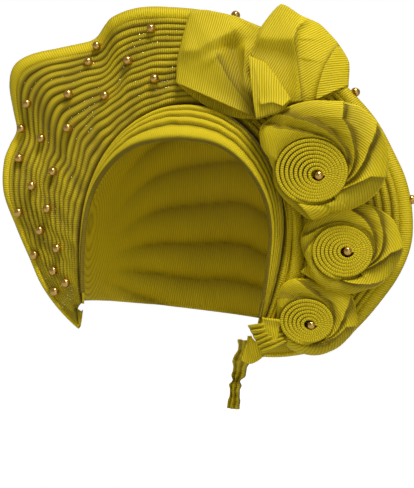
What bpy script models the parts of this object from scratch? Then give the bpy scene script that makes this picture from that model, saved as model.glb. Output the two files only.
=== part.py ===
"""Tied gele head tie: a pleated fan, a brow wrap, bow loops, rosettes and round beads.

Units are metres. +X is the viewer's right, +Y is the back of the head, +Z is up.
The origin is the crown's inner apex, where the head tie rests on the head.
Every sheet is a smooth surface drawn by a function and given its wall by Solidify.
"""
import math
from collections import namedtuple

import bmesh
import bpy
from mathutils import Vector
from mathutils.bvhtree import BVHTree

# Head hollow
HEAD_HALF_WIDTH = 0.076
HEAD_HALF_LENGTH = 0.098
HEAD_CROWN = 0.095
HEAD_NAPE = 0.150
CAP_RIM_Z = -0.150

# Walls and clearances
CAP_WALL = 0.0020
WRAP_WALL = 0.0013
FAN_WALL = 0.0016
LOOP_WALL = 0.0015
DRAPE_WALL = 0.0015
PETAL_WALL = 0.0015
COIL_WALL = 0.0019
GATHER_WALL = 0.0015
TAIL_WALL = 0.0015
CLEARANCE = 0.0003
WRAP_LIFT = 0.0008
ROOT_LIFT = 0.0022

# Pleated fan
FAN_REACH = 0.150
FAN_ROOT_Y = -0.0500
FAN_EDGE_Y = -0.0350
FAN_SWING = 0.0070
FAN_PLEATS = 14
FAN_PLEAT_HEIGHT = 0.0022
FAN_STEP_DEG = 12.0

# Crown cap
CAP_TURN_START = 221.0
CAP_TURN_END = -42.0
CAP_ARCH = 22
CAP_BACK = 14
HEM_TUCK = 0.0012

# Brow wrap
WRAP_BACK_Y = -0.0535
WRAP_FRONT_Y = -0.0780
WRAP_PLEATS = 4
WRAP_PLEAT_HEIGHT = 0.0024
WRAP_STATIONS = 26

# Side drape
DRAPE_REACH = 0.090
DRAPE_FOLD = 0.0022
DRAPE_FOLDS = 3
DRAPE_Y = -0.0560

# Bow loops
BOW_WIDTH = 0.100
LOOP_DEPTH = 0.0055
LOOP_LEAN = 0.24
LOOP_CREASE = 0.0020

# Rosettes
ROSETTE_REACH = 0.046
PETAL_RISE = 0.0032
PETAL_SLOPE = 0.0080
PETAL_FLOOR = 0.0045
PETAL_CURL = 0.0075
COIL_REACH = 0.0232
COIL_HEIGHT = 0.0065
COIL_ROOM = 1.10
COIL_EYE = 0.0042

# Ear gather, flap and tail
GATHER_LENGTH = 0.019
GATHER_WIDTH = 0.022
GATHER_PLEATS = 5
GATHER_FOLD = 0.0022
FLAP_SIDE = 0.018
TAIL_LENGTH = 0.049
TAIL_SWING = 0.030
TAIL_WIDTH = 0.0105
TAIL_FOLD = 0.0020

# Beads
BEAD_RADIUS = 0.0031

HEAD_CENTRE = Vector((0.0, 0.0, -HEAD_CROWN))
TO_BACK = Vector((0.0, 1.0, 0.0))

FanStation = namedtuple("FanStation", "angle reach swing")
FAN_EDGE = (
    FanStation(228.0, 0.650, 0.0),
    FanStation(218.0, 0.673, 0.0),
    FanStation(206.0, 0.707, 0.2),
    FanStation(195.0, 0.740, 0.5),
    FanStation(184.0, 0.793, 0.1),
    FanStation(174.0, 0.860, -0.6),
    FanStation(165.0, 0.907, -0.2),
    FanStation(161.0, 0.918, 0.3),
    FanStation(156.0, 0.930, 0.7),
    FanStation(152.0, 0.990, 0.5),
    FanStation(147.0, 1.065, -0.4),
    FanStation(143.0, 1.093, -1.0),
    FanStation(139.0, 1.080, -0.9),
    FanStation(132.0, 1.025, 0.0),
    FanStation(125.0, 0.987, 0.9),
    FanStation(122.0, 0.987, 0.8),
    FanStation(119.0, 1.010, 0.3),
    FanStation(116.0, 1.025, -0.4),
    FanStation(109.0, 1.025, -0.8),
    FanStation(100.0, 1.005, -0.3),
    FanStation(92.0, 0.992, 0.2),
    FanStation(84.0, 0.978, 0.0),
    FanStation(75.0, 0.965, 0.0),
    FanStation(60.0, 0.952, 0.0),
    FanStation(46.0, 0.958, 0.0),
    FanStation(37.0, 0.972, 0.1),
    FanStation(28.0, 0.980, 0.0),
    FanStation(20.0, 0.996, -0.1),
    FanStation(12.0, 1.000, 0.1),
    FanStation(4.0, 0.992, 0.2),
    FanStation(-4.0, 0.958, 0.0),
    FanStation(-12.0, 0.912, -0.2),
    FanStation(-21.0, 0.868, -0.1),
    FanStation(-26.0, 0.845, 0.1),
    FanStation(-38.0, 0.745, 0.2),
    FanStation(-50.0, 0.645, 0.1),
)

HemStation = namedtuple("HemStation", "angle front")
HEM = (
    HemStation(221.0, 0.69),
    HemStation(192.0, 0.73),
    HemStation(162.0, 0.77),
    HemStation(144.0, 0.85),
    HemStation(125.0, 0.93),
    HemStation(105.0, 1.00),
    HemStation(85.0, 1.00),
    HemStation(68.0, 0.95),
    HemStation(45.0, 0.88),
    HemStation(25.0, 0.82),
    HemStation(8.0, 0.79),
    HemStation(-11.0, 0.77),
    HemStation(-28.0, 0.74),
    HemStation(-42.0, 0.70),
)

DrapeStation = namedtuple("DrapeStation", "angle inner outer fullness")
DRAPE = (
    DrapeStation(53.0, 0.960, 1.020, 0.2),
    DrapeStation(45.0, 0.880, 0.980, 0.5),
    DrapeStation(31.0, 0.800, 0.930, 0.8),
    DrapeStation(14.0, 0.785, 0.910, 1.0),
    DrapeStation(-5.0, 0.790, 0.935, 1.1),
    DrapeStation(-22.0, 0.820, 0.970, 1.0),
    DrapeStation(-38.0, 0.900, 1.030, 0.6),
)

RimPoint = namedtuple("RimPoint", "across up crease")
LEFT_RIM = (
    RimPoint(-0.14, 0.02, 0.0),
    RimPoint(-0.16, 0.20, 0.8),
    RimPoint(-0.13, 0.515, 0.2),
    RimPoint(-0.02, 0.535, -0.6),
    RimPoint(0.18, 0.51, 0.8),
    RimPoint(0.36, 0.45, 0.0),
)
RIGHT_RIM = (
    RimPoint(0.34, 0.25, 0.0),
    RimPoint(0.38, 0.44, 0.7),
    RimPoint(0.48, 0.605, 0.6),
    RimPoint(0.62, 0.545, -1.0),
    RimPoint(0.75, 0.50, 0.9),
    RimPoint(0.88, 0.39, -0.9),
    RimPoint(0.97, 0.27, 0.8),
    RimPoint(0.99, 0.11, 0.0),
)
FRONT_RIM = (
    RimPoint(0.35, 0.225, 0.0),
    RimPoint(0.41, 0.205, 0.3),
    RimPoint(0.46, 0.19, 0.5),
    RimPoint(0.55, 0.10, 0.4),
    RimPoint(0.66, -0.03, 0.0),
)

LoopRow = namedtuple("LoopRow", "name rim base_left base_right front sag fullness taper slant")
LOOPS = (
    LoopRow("left_bow_loop", LEFT_RIM, (0.45, -0.165), (0.475, -0.125), -0.58, 0.07, 1.1, 0.6, 0.0),
    LoopRow("right_bow_loop", RIGHT_RIM, (0.60, -0.065), (0.80, -0.015), -0.58, 0.0, 1.1, 0.2, 0.16),
    LoopRow("front_bow_loop", FRONT_RIM, (0.47, -0.130), (0.655, -0.080), -0.64, 0.0, 0.6, 0.0, 0.10),
)

RosetteRow = namedtuple("RosetteRow", "name x y z yaw pitch size turns points coil flat eye shift")
ROSETTES = (
    RosetteRow(
        "rosette_3", 0.633, -0.413, -0.967, 10.0, -6.0, 0.66, 4.0, 9, 0.75, 0.84, (0.0, 0.0), (-0.13, 0.11)
    ),
    RosetteRow(
        "rosette_2", 0.747, -0.467, -0.627, 10.0, 1.0, 0.75, 4.0, 10, 0.84, 0.88, (0.07, 0.0), (-0.06, -0.04)
    ),
    RosetteRow(
        "rosette_1", 0.600, -0.520, -0.313, 8.0, -3.0, 1.00, 4.5, 10, 1.00, 0.90, (0.0, -0.10), (-0.20, 0.0)
    ),
)
PetalPoint = namedtuple("PetalPoint", "angle reach")
PETALS = {
    "rosette_1": (
        PetalPoint(-177.0, 0.64), PetalPoint(-154.0, 0.63), PetalPoint(-118.0, 0.60),
        PetalPoint(-92.0, 0.67), PetalPoint(-66.0, 0.58), PetalPoint(-36.0, 0.71),
        PetalPoint(-20.0, 0.80), PetalPoint(-2.0, 0.90), PetalPoint(20.0, 0.97),
        PetalPoint(36.0, 1.02), PetalPoint(49.0, 1.04), PetalPoint(66.0, 1.05),
        PetalPoint(90.0, 0.98), PetalPoint(115.0, 0.99), PetalPoint(137.0, 1.00),
        PetalPoint(150.0, 1.02), PetalPoint(163.0, 0.88), PetalPoint(171.0, 0.73),
    ),
    "rosette_2": (
        PetalPoint(-170.0, 0.76), PetalPoint(-157.0, 0.72), PetalPoint(-129.0, 0.78),
        PetalPoint(-101.0, 0.79), PetalPoint(-55.0, 0.81), PetalPoint(-39.0, 0.90),
        PetalPoint(-17.0, 0.94), PetalPoint(6.0, 1.07), PetalPoint(21.0, 1.06),
        PetalPoint(39.0, 1.07), PetalPoint(51.0, 1.03), PetalPoint(84.0, 0.90),
        PetalPoint(109.0, 0.91), PetalPoint(135.0, 0.89), PetalPoint(157.0, 0.87),
        PetalPoint(173.0, 0.84),
    ),
    "rosette_3": (
        PetalPoint(-152.0, 0.67), PetalPoint(-127.0, 0.69), PetalPoint(-98.0, 0.65),
        PetalPoint(-49.0, 0.71), PetalPoint(-18.0, 0.82), PetalPoint(1.0, 0.94),
        PetalPoint(14.0, 0.99), PetalPoint(23.0, 0.99), PetalPoint(43.0, 1.05),
        PetalPoint(74.0, 0.88), PetalPoint(105.0, 0.97), PetalPoint(119.0, 1.05),
        PetalPoint(132.0, 1.04), PetalPoint(147.0, 0.91), PetalPoint(174.0, 0.72),
    ),
}

BeadRow = namedtuple("BeadRow", "angle reach rim")
BEADS = (
    BeadRow(106.0, 0.92, False),
    BeadRow(123.0, 0.945, False),
    BeadRow(127.0, 0.895, False),
    BeadRow(115.0, 0.807, False),
    BeadRow(107.0, 0.690, False),
    BeadRow(137.0, 0.813, False),
    BeadRow(127.0, 0.707, False),
    BeadRow(148.0, 0.933, False),
    BeadRow(155.0, 0.905, False),
    BeadRow(145.0, 0.700, False),
    BeadRow(154.0, 0.787, False),
    BeadRow(163.0, 0.840, False),
    BeadRow(162.0, 0.653, False),
    BeadRow(170.0, 0.727, False),
    BeadRow(180.0, 0.770, False),
    BeadRow(177.0, 0.627, False),
    BeadRow(186.0, 0.660, False),
    BeadRow(194.0, 0.575, False),
    BeadRow(195.0, 0.705, False),
    BeadRow(203.0, 0.620, False),
    BeadRow(211.0, 0.650, False),
    BeadRow(210.0, 0.575, False),
    BeadRow(84.0, 0.985, True),
    BeadRow(46.0, 0.965, True),
    BeadRow(15.0, 1.00, True),
)


def clear_scene():
    """Take out everything the start-up file holds."""
    for obj in list(bpy.data.objects):
        bpy.data.objects.remove(obj, do_unlink=True)


def blend(low, high, share):
    """Value between low and high at a share from 0 to 1."""
    return low + (high - low) * share


def read_table(rows, key, field, at):
    """Smooth value of one column where another column has the value at."""
    keys = [getattr(row, key) for row in rows]
    values = [getattr(row, field) for row in rows]
    if keys[0] > keys[-1]:
        keys.reverse()
        values.reverse()
    last = len(keys) - 1
    at = min(max(at, keys[0]), keys[last])
    i = 0
    while i < last - 1 and at > keys[i + 1]:
        i += 1

    def slope(j):
        low = max(j - 1, 0)
        high = min(j + 1, last)
        return (values[high] - values[low]) / (keys[high] - keys[low])

    span = keys[i + 1] - keys[i]
    t = (at - keys[i]) / span
    rise = values[i + 1] - values[i]
    start = slope(i) * span
    end = slope(i + 1) * span
    return values[i] + t * start + t * t * (3 * rise - 2 * start - end) + t ** 3 * (start + end - 2 * rise)


def read_rim(rows, share):
    """Across, up and crease of a rim table at a share of its row count."""
    at = min(max(share, 0.0), 1.0) * (len(rows) - 1)
    i = min(int(at), len(rows) - 2)
    t = at - i
    return [blend(rows[i][k], rows[i + 1][k], t) for k in range(3)]


def head_point(angle, y, lift):
    """Point on the head at an angle round the Y axis, lifted along the normal."""
    level = math.sqrt(max(1.0 - (y / HEAD_HALF_LENGTH) ** 2, 0.0))
    c = math.cos(math.radians(angle))
    s = math.sin(math.radians(angle))
    tall = HEAD_CROWN if s >= 0 else HEAD_NAPE
    ring = level / math.sqrt((c / HEAD_HALF_WIDTH) ** 2 + (s / tall) ** 2)
    x = ring * c
    z = ring * s
    normal = Vector((x / HEAD_HALF_WIDTH ** 2, y / HEAD_HALF_LENGTH ** 2, z / tall ** 2))
    return HEAD_CENTRE + Vector((x, y, z)) + normal.normalized() * lift


def head_direction(direction):
    """Point on the head in a direction from the head's centre."""
    tall = HEAD_CROWN if direction.z >= 0 else HEAD_NAPE
    flat = (direction.x / HEAD_HALF_WIDTH) ** 2 + (direction.y / HEAD_HALF_LENGTH) ** 2
    return HEAD_CENTRE + direction / math.sqrt(flat + (direction.z / tall) ** 2)


def polar(angle, radius, y):
    """Point at an angle and radius round the head's centre, at depth y."""
    turn = math.radians(angle)
    return HEAD_CENTRE + Vector((radius * math.cos(turn), y, radius * math.sin(turn)))


def make_material(name, colour, metal, rough):
    """A Principled material."""
    material = bpy.data.materials.new(name)
    material.use_nodes = True
    shader = material.node_tree.nodes["Principled BSDF"]
    shader.inputs["Base Color"].default_value = colour
    shader.inputs["Metallic"].default_value = metal
    shader.inputs["Roughness"].default_value = rough
    return material


def cloth(name):
    """The ribbed lemon cloth of one piece."""
    return make_material(name + "_cloth", (0.52, 0.47, 0.03, 1.0), 0.0, 0.62)


def metal_bead(name):
    """The polished bead metal of one piece."""
    return make_material(name + "_metal", (0.78, 0.56, 0.25, 1.0), 1.0, 0.22)


def add_object(name, vertices, faces, material, collection):
    """A mesh object in the part's collection."""
    mesh = bpy.data.meshes.new(name)
    mesh.from_pydata([tuple(v) for v in vertices], [], faces)
    mesh.materials.append(material)
    obj = bpy.data.objects.new(name, mesh)
    collection.objects.link(obj)
    return obj


def bake(obj):
    """Turn the modifiers of an object into its mesh, with all faces outward."""
    graph = bpy.context.evaluated_depsgraph_get()
    graph.update()
    mesh = bpy.data.meshes.new_from_object(obj.evaluated_get(graph))
    old = obj.data
    obj.modifiers.clear()
    obj.data = mesh
    bpy.data.meshes.remove(old)
    shell = bmesh.new()
    shell.from_mesh(mesh)
    bmesh.ops.recalc_face_normals(shell, faces=shell.faces)
    shell.to_mesh(mesh)
    shell.free()
    for polygon in mesh.polygons:
        polygon.use_smooth = True


def sheet(name, surface, across, along, wall, collection, grow=None, loop=False, pole=None):
    """A sheet drawn by surface(u, v) over two lists of shares, with a wall.

    Args:
        name: node name.
        surface: gives a point for u and v.
        across: list of u values, one column each.
        along: list of v values, one row each.
        wall: thickness.
        collection: where the object goes.
        grow: way that the wall grows from the first face, or None for away from the head.
        loop: True joins the last column to the first.
        pole: point that closes the last row, or None.
    """
    vertices = [surface(u, v) for v in along for u in across]
    wide = len(across)
    columns = wide if loop else wide - 1
    faces = []
    for row in range(len(along) - 1):
        for column in range(columns):
            a = row * wide + column
            b = row * wide + (column + 1) % wide
            faces.append((a, b, b + wide, a + wide))
    if pole is not None:
        vertices.append(pole)
        top = (len(along) - 1) * wide
        for column in range(columns):
            faces.append((top + column, top + (column + 1) % wide, len(vertices) - 1))
    obj = add_object(name, vertices, faces, cloth(name), collection)
    solid = obj.modifiers.new("wall", "SOLIDIFY")
    solid.thickness = wall
    first = obj.data.polygons[0]
    way = grow if grow is not None else first.center - HEAD_CENTRE
    solid.offset = 0.0 if way.length == 0.0 else math.copysign(1.0, first.normal.dot(way))
    solid.use_even_offset = False
    bpy.context.view_layer.update()
    bake(obj)
    return obj


def samples(obj):
    """Corners, edge middles and face middles of an object's mesh."""
    mesh = obj.data
    points = [v.co.copy() for v in mesh.vertices]
    for edge in mesh.edges:
        points.append((points[edge.vertices[0]] + points[edge.vertices[1]]) / 2)
    for face in mesh.polygons:
        points.append(face.center.copy())
    return points


def tree_of(obj):
    """Search tree of an object's mesh."""
    shell = bmesh.new()
    shell.from_mesh(obj.data)
    tree = BVHTree.FromBMesh(shell)
    shell.free()
    return tree


def move(obj, shift):
    """Shift an object's mesh."""
    for vertex in obj.data.vertices:
        vertex.co += shift
    obj.data.update()


def seat(obj, carriers, direction):
    """Slide an object along a direction until it lies one clearance off its carriers."""
    step = direction.normalized()
    move(obj, -step * 0.06)
    own = tree_of(obj)
    own_points = samples(obj)
    gap = 1.0
    for carrier in carriers:
        other = tree_of(carrier)
        for point in own_points:
            hit = other.ray_cast(point, step, 0.15)
            if hit[0] is not None:
                gap = min(gap, hit[3])
        for point in samples(carrier):
            hit = own.ray_cast(point, -step, 0.15)
            if hit[0] is not None:
                gap = min(gap, hit[3])
    if gap > 0.5:
        move(obj, step * 0.06)
        return
    move(obj, step * (gap - CLEARANCE))
    for _ in range(40):
        own = tree_of(obj)
        if not any(own.overlap(tree_of(carrier)) for carrier in carriers):
            break
        move(obj, -step * CLEARANCE)


def shares(count):
    """Even shares from 0 to 1 over a count of cells."""
    return [i / count for i in range(count + 1)]


def build_cap(collection):
    """Crown cap: a dome with an open face and an open underside."""
    def hem_direction(share):
        angle = blend(CAP_TURN_START, CAP_TURN_END, share)
        y = -abs(WRAP_FRONT_Y) * read_table(HEM, "angle", "front", angle)
        return head_point(angle, y + HEM_TUCK, 0.0) - HEAD_CENTRE

    def rim_direction(share):
        drop = CAP_RIM_Z - HEAD_CENTRE.z
        ring = math.sqrt(1.0 - (drop / HEAD_NAPE) ** 2)
        swing = blend(math.radians(-36.0), math.radians(216.0), share)
        x = HEAD_HALF_WIDTH * ring * math.cos(swing)
        y = HEAD_HALF_LENGTH * ring * math.sin(swing)
        return Vector((x, y, drop))

    border = [hem_direction(i / CAP_ARCH) for i in range(CAP_ARCH + 1)]
    border += [rim_direction(i / CAP_BACK) for i in range(1, CAP_BACK)]
    border = [v.normalized() for v in border]
    pole = Vector((0.0, 0.62, 0.78)).normalized()

    def surface(u, v):
        start = border[int(round(u * len(border)))]
        return head_direction(start.slerp(pole, v))

    across = [i / len(border) for i in range(len(border))]
    along = [0.0, 0.17, 0.34, 0.52, 0.70, 0.86]
    return sheet("crown_cap", surface, across, along, CAP_WALL, collection, None, True, head_direction(pole))


def build_wrap(collection):
    """Brow wrap: shingled pleats round the face opening."""
    cells = WRAP_PLEATS * 2

    def surface(u, v):
        angle = blend(219.0, -40.0, u)
        front = -abs(WRAP_FRONT_Y) * read_table(HEM, "angle", "front", angle)
        y = blend(front, WRAP_BACK_Y, v)
        pitch = abs(WRAP_BACK_Y - front) / WRAP_PLEATS
        height = min(WRAP_PLEAT_HEIGHT, 0.62 * pitch)
        cell = int(round(v * cells))
        crest = height if cell % 2 == 0 and cell < cells else 0.0
        return head_point(angle, y, CAP_WALL + WRAP_LIFT + crest)

    return sheet("brow_wrap", surface, shares(WRAP_STATIONS), shares(cells), WRAP_WALL, collection)


def fan_angles():
    """Angles of the fan's stations, closer together at the lobes."""
    angles = [FAN_EDGE[0].angle]
    for before, after in zip(FAN_EDGE, FAN_EDGE[1:]):
        gap = before.angle - after.angle
        parts = max(1, math.ceil(gap / FAN_STEP_DEG))
        for i in range(1, parts + 1):
            angles.append(before.angle - gap * i / parts)
    return angles


def fan_surface(angle, v, ridge):
    """Point of the fan's front at a share v from the root to the edge."""
    root = head_point(angle, FAN_ROOT_Y, CAP_WALL + ROOT_LIFT)
    start = math.hypot(root.x, root.z - HEAD_CENTRE.z)
    end = FAN_REACH * read_table(FAN_EDGE, "angle", "reach", angle)
    radius = blend(start, end, v)
    lobe = FAN_SWING * read_table(FAN_EDGE, "angle", "swing", angle) * v * v
    pitch = (end - start) / FAN_PLEATS
    height = min(FAN_PLEAT_HEIGHT, 0.5 * pitch) * ridge
    turned = blend(min(max(angle, CAP_TURN_END), CAP_TURN_START), angle, v)
    return polar(turned, radius, blend(FAN_ROOT_Y, FAN_EDGE_Y, v) + lobe - height)


def build_fan(collection):
    """Pleated fan: rings of pleats from the cap out to a lobed edge."""
    angles = fan_angles()
    cells = FAN_PLEATS * 2

    def surface(u, v):
        cell = int(round(v * cells))
        return fan_surface(angles[int(round(u * (len(angles) - 1)))], v, float(cell % 2))

    across = shares(len(angles) - 1)
    return sheet("pleated_fan", surface, across, shares(cells), FAN_WALL, collection, TO_BACK)


def build_drape(collection):
    """Side drape: upright folds from the bow's gather down to the ear."""
    cells = DRAPE_FOLDS * 2

    def surface(u, v):
        angle = blend(DRAPE[0].angle, DRAPE[-1].angle, u)
        inner = DRAPE_REACH * read_table(DRAPE, "angle", "inner", angle)
        outer = DRAPE_REACH * read_table(DRAPE, "angle", "outer", angle)
        full = read_table(DRAPE, "angle", "fullness", angle)
        ridge = DRAPE_FOLD * full * (1.0 if int(round(v * cells)) % 2 else 0.0)
        return polar(angle, blend(inner, outer, v), DRAPE_Y - ridge + 0.002 * v)

    return sheet("side_drape", surface, shares(11), shares(cells), DRAPE_WALL, collection, TO_BACK)


def build_loop(row, collection):
    """One bow loop: a front panel, a turned rim and a back panel."""
    rows = (0.04, 0.25, 0.42, 0.5, 0.58, 0.75, 0.96)

    def surface(u, v):
        across, up, crease = read_rim(row.rim, u)
        base_across = blend(row.base_left[0], row.base_right[0], u)
        base_up = blend(row.base_left[1], row.base_right[1], u)
        half = 1.0 - abs(2.0 * v - 1.0)
        x = BOW_WIDTH * blend(base_across, across, half)
        z = BOW_WIDTH * blend(base_up, up, half)
        swell = math.sin(math.pi * min(half, 1.0)) * 0.7 + 0.3 * math.sqrt(max(1.0 - half, 0.0))
        depth = LOOP_DEPTH * row.fullness * swell * (1.0 - row.taper * u)
        y = BOW_WIDTH * row.front + LOOP_LEAN * (z - BOW_WIDTH * row.base_left[1])
        y += row.slant * (x - BOW_WIDTH * row.base_left[0])
        if v < 0.5:
            return Vector((x, y - depth - LOOP_CREASE * crease * math.sin(math.pi * half), z))
        droop = BOW_WIDTH * row.sag * math.sin(math.pi * half) * max(1.0 - 2.2 * u, 0.0)
        return Vector((x, y + depth * 0.7, z - droop))

    cells = 2 * (len(row.rim) - 1)
    return sheet(row.name, surface, shares(cells), rows, LOOP_WALL, collection, -TO_BACK)


def rosette_axes(row):
    """Right, up and facing axes of a rosette."""
    yaw = math.radians(row.yaw)
    pitch = math.radians(row.pitch)
    facing = Vector((math.sin(yaw) * math.cos(pitch), -math.cos(yaw) * math.cos(pitch), math.sin(pitch)))
    right = Vector((math.cos(yaw), math.sin(yaw), 0.0))
    return right, facing.cross(right), facing


def rosette_centre(row):
    """Middle of a rosette."""
    return Vector((row.x, row.y, row.z)) * FAN_REACH


def read_petals(name, angle):
    """Petal reach of a rosette at an angle, closed round the circle."""
    rows = PETALS[name]
    first = rows[0]
    last = rows[-1]
    before = PetalPoint(last.angle - 360.0, last.reach)
    after = PetalPoint(first.angle + 360.0, first.reach)
    ring = (before,) + rows + (after,)
    return read_table(ring, "angle", "reach", angle)


def build_petals(row, collection):
    """Petal collar of a rosette: a swirled ring round its coil."""
    right, up, facing = rosette_axes(row)
    centre = rosette_centre(row)
    shift = (right * row.shift[0] + up * row.shift[1]) * COIL_REACH
    reach = ROSETTE_REACH * row.size

    def surface(u, v):
        turn = -180.0 + 360.0 * u
        a = math.radians(turn)
        way = right * math.cos(a) + up * math.sin(a)
        outer = reach * read_petals(row.name, turn)
        bowl = COIL_REACH * row.coil * COIL_ROOM / math.hypot(math.cos(a), math.sin(a) / row.flat)
        room = outer - shift.dot(way) - bowl
        full = min(max(room / (PETAL_SLOPE * row.size), 0.0), 1.0)
        floor = centre + shift + way * (bowl + min(room - PETAL_WALL, 0.0))
        edge = centre + way * outer
        step = int(round(v * 3))
        wave = 0.0016 * math.cos(math.radians(turn * 4.0) - 0.9 * step)
        place = (centre + shift + way * BEAD_RADIUS * 0.7, floor, floor.lerp(edge, 0.5), edge)[step]
        crest = blend(-PETAL_FLOOR, PETAL_RISE + wave, full)
        return place + facing * (-PETAL_FLOOR, -PETAL_FLOOR, crest, wave - PETAL_CURL)[step] * row.size

    across = [i / 16 for i in range(16)]
    return sheet(row.name + "_petals", surface, across, shares(3), PETAL_WALL, collection, -facing, True)


def build_coil(row, collection):
    """Coil of a rosette: a folded strip rolled into a spiral."""
    right, up, facing = rosette_axes(row)
    reach = COIL_REACH * row.coil
    centre = rosette_centre(row) + facing * COIL_HEIGHT * 2.0 * row.size
    eye = (right * row.eye[0] + up * row.eye[1]) * COIL_REACH
    shift = (right * row.shift[0] + up * row.shift[1]) * COIL_REACH
    count = int(row.turns * row.points)

    def surface(u, v):
        a = 2 * math.pi * row.turns * u
        radius = blend(COIL_EYE, reach, u)
        tall = COIL_HEIGHT * blend(1.0, 0.75, u)
        lean = 0.0008 * v
        x = (radius + lean) * math.cos(a)
        z = (radius + lean) * math.sin(a) * row.flat
        return centre + eye.lerp(shift, u) + right * x + up * z + facing * tall * v

    return sheet(row.name + "_coil", surface, shares(count), [0.0, 1.0], COIL_WALL, collection, Vector())


def build_bead(name, centre, collection):
    """A round bead."""
    bpy.ops.mesh.primitive_uv_sphere_add(segments=10, ring_count=5, radius=BEAD_RADIUS, location=(0, 0, 0))
    obj = bpy.context.object
    obj.name = name
    obj.data.name = name
    for owner in list(obj.users_collection):
        owner.objects.unlink(obj)
    collection.objects.link(obj)
    obj.data.materials.append(metal_bead(name))
    for polygon in obj.data.polygons:
        polygon.use_smooth = True
    move(obj, centre)
    return obj


def build_gather(collection):
    """Ear gather: a small slanted bundle of pleats below the drape."""
    cells = GATHER_PLEATS * 2
    start = Vector((0.590, -0.667, -1.661)) * DRAPE_REACH
    along_way = Vector((0.90, 0.05, 0.26)).normalized()
    across_way = Vector((0.56, 0.0, -0.83)).normalized()

    def surface(u, v):
        spread = blend(1.0, 0.72, u) * GATHER_WIDTH
        ridge = GATHER_FOLD * (1.0 if int(round(v * cells)) % 2 else 0.0) * blend(1.0, 0.6, u)
        swell = 0.003 * math.sin(math.pi * u)
        forward = Vector((0.0, -ridge - swell, 0.0))
        return start + along_way * GATHER_LENGTH * u + across_way * spread * v + forward

    return sheet("ear_gather", surface, shares(3), shares(cells), GATHER_WALL, collection, TO_BACK)


def build_flap(collection):
    """Side flap: a small pointed panel under the ear gather."""
    corner = Vector((0.528, -0.580, -1.940)) * DRAPE_REACH

    def surface(u, v):
        narrow = 1.0 - 0.86 * v
        x = corner.x + FLAP_SIDE * (0.90 * u * narrow + 0.17 * v)
        z = corner.z + FLAP_SIDE * ((0.34 * u - 0.22 * math.sin(math.pi * u)) * narrow + 0.93 * v)
        return Vector((x, corner.y + 0.002 * v - 0.002 * math.sin(math.pi * u), z))

    return sheet("side_flap", surface, shares(4), shares(3), TAIL_WALL, collection, TO_BACK)


def build_tail(collection):
    """Tie tail: a scrunched strip hanging behind the ear."""
    top = Vector((0.540, -0.244, -1.800)) * DRAPE_REACH

    def surface(v, u):
        sway = TAIL_LENGTH * (0.02 * u - 0.20 * math.sin(math.pi * 0.62 * u))
        scrunch = TAIL_FOLD * math.cos(2 * math.pi * 3.0 * u)
        width = TAIL_WIDTH * (1.0 + 0.14 * math.cos(2 * math.pi * 3.0 * u + 1.0))
        bow = 0.003 * math.sin(math.pi * v)
        back = TAIL_SWING * math.sin(math.pi * 0.5 * min(u * 1.6, 1.0))
        return top + Vector((sway + width * (v - 0.5), back - scrunch - bow, -TAIL_LENGTH * u))

    return sheet("tie_tail", surface, shares(3), shares(12), TAIL_WALL, collection, TO_BACK)


def main():
    """Build every piece, then seat each one on what carries it."""
    clear_scene()
    part = bpy.data.collections.new("tied_gele_head_tie")
    bpy.context.scene.collection.children.link(part)
    cap = build_cap(part)
    wrap = build_wrap(part)
    fan = build_fan(part)
    seat(wrap, [cap], TO_BACK)
    seat(fan, [cap, wrap], TO_BACK)
    placed = [cap, wrap, fan]
    drape = build_drape(part)
    seat(drape, placed, TO_BACK)
    placed.append(drape)
    for row in LOOPS:
        loop = build_loop(row, part)
        seat(loop, placed, TO_BACK)
        placed.append(loop)
    for row in ROSETTES:
        facing = rosette_axes(row)[2]
        petals = build_petals(row, part)
        seat(petals, placed, -facing)
        placed.append(petals)
    for row in ROSETTES:
        right, up, facing = rosette_axes(row)
        coil = build_coil(row, part)
        seat(coil, placed, -facing)
        placed.append(coil)
        eye = (right * row.eye[0] + up * row.eye[1]) * COIL_REACH
        middle = rosette_centre(row) + eye + facing * COIL_HEIGHT * 2.0 * row.size
        bead = build_bead(row.name + "_bead", middle, part)
        seat(bead, placed, -facing)
        placed.append(bead)
    flap = build_flap(part)
    seat(flap, placed, TO_BACK)
    placed.append(flap)
    gather = build_gather(part)
    seat(gather, placed, TO_BACK)
    placed.append(gather)
    tail = build_tail(part)
    seat(tail, placed, -TO_BACK)
    for number, row in enumerate(BEADS, start=1):
        name = "bead_%02d" % number
        bead = build_bead(name, polar(row.angle, FAN_REACH * row.reach, FAN_EDGE_Y), part)
        if row.rim:
            seat(bead, [fan], polar(row.angle, -1.0, 0.0) - HEAD_CENTRE)
        else:
            seat(bead, [fan], TO_BACK)


main()
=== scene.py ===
"""Dresses the tied gele head tie: ribbed lemon cloth, pleats, bow loops, rosettes and gold beads.

Units are metres. +X is the viewer's right, +Y is the back of the head and +Z is up. The origin is
the crown's inner apex. Every sheet is drawn on a grid of points and given a thin wall. Each sheet
carries a UV map named "weave", whose U runs across the ribs and V along them, both in metres, and
a value named "crest", which is painted light and shade: 0 in the bottom of a fold, where the
darkest shade is painted, and 1 on its top, where full light is painted.
"""
import logging
import math
from dataclasses import dataclass
from enum import Enum

import bmesh
import bpy
import numpy as np
from mathutils import Matrix, Vector


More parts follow.
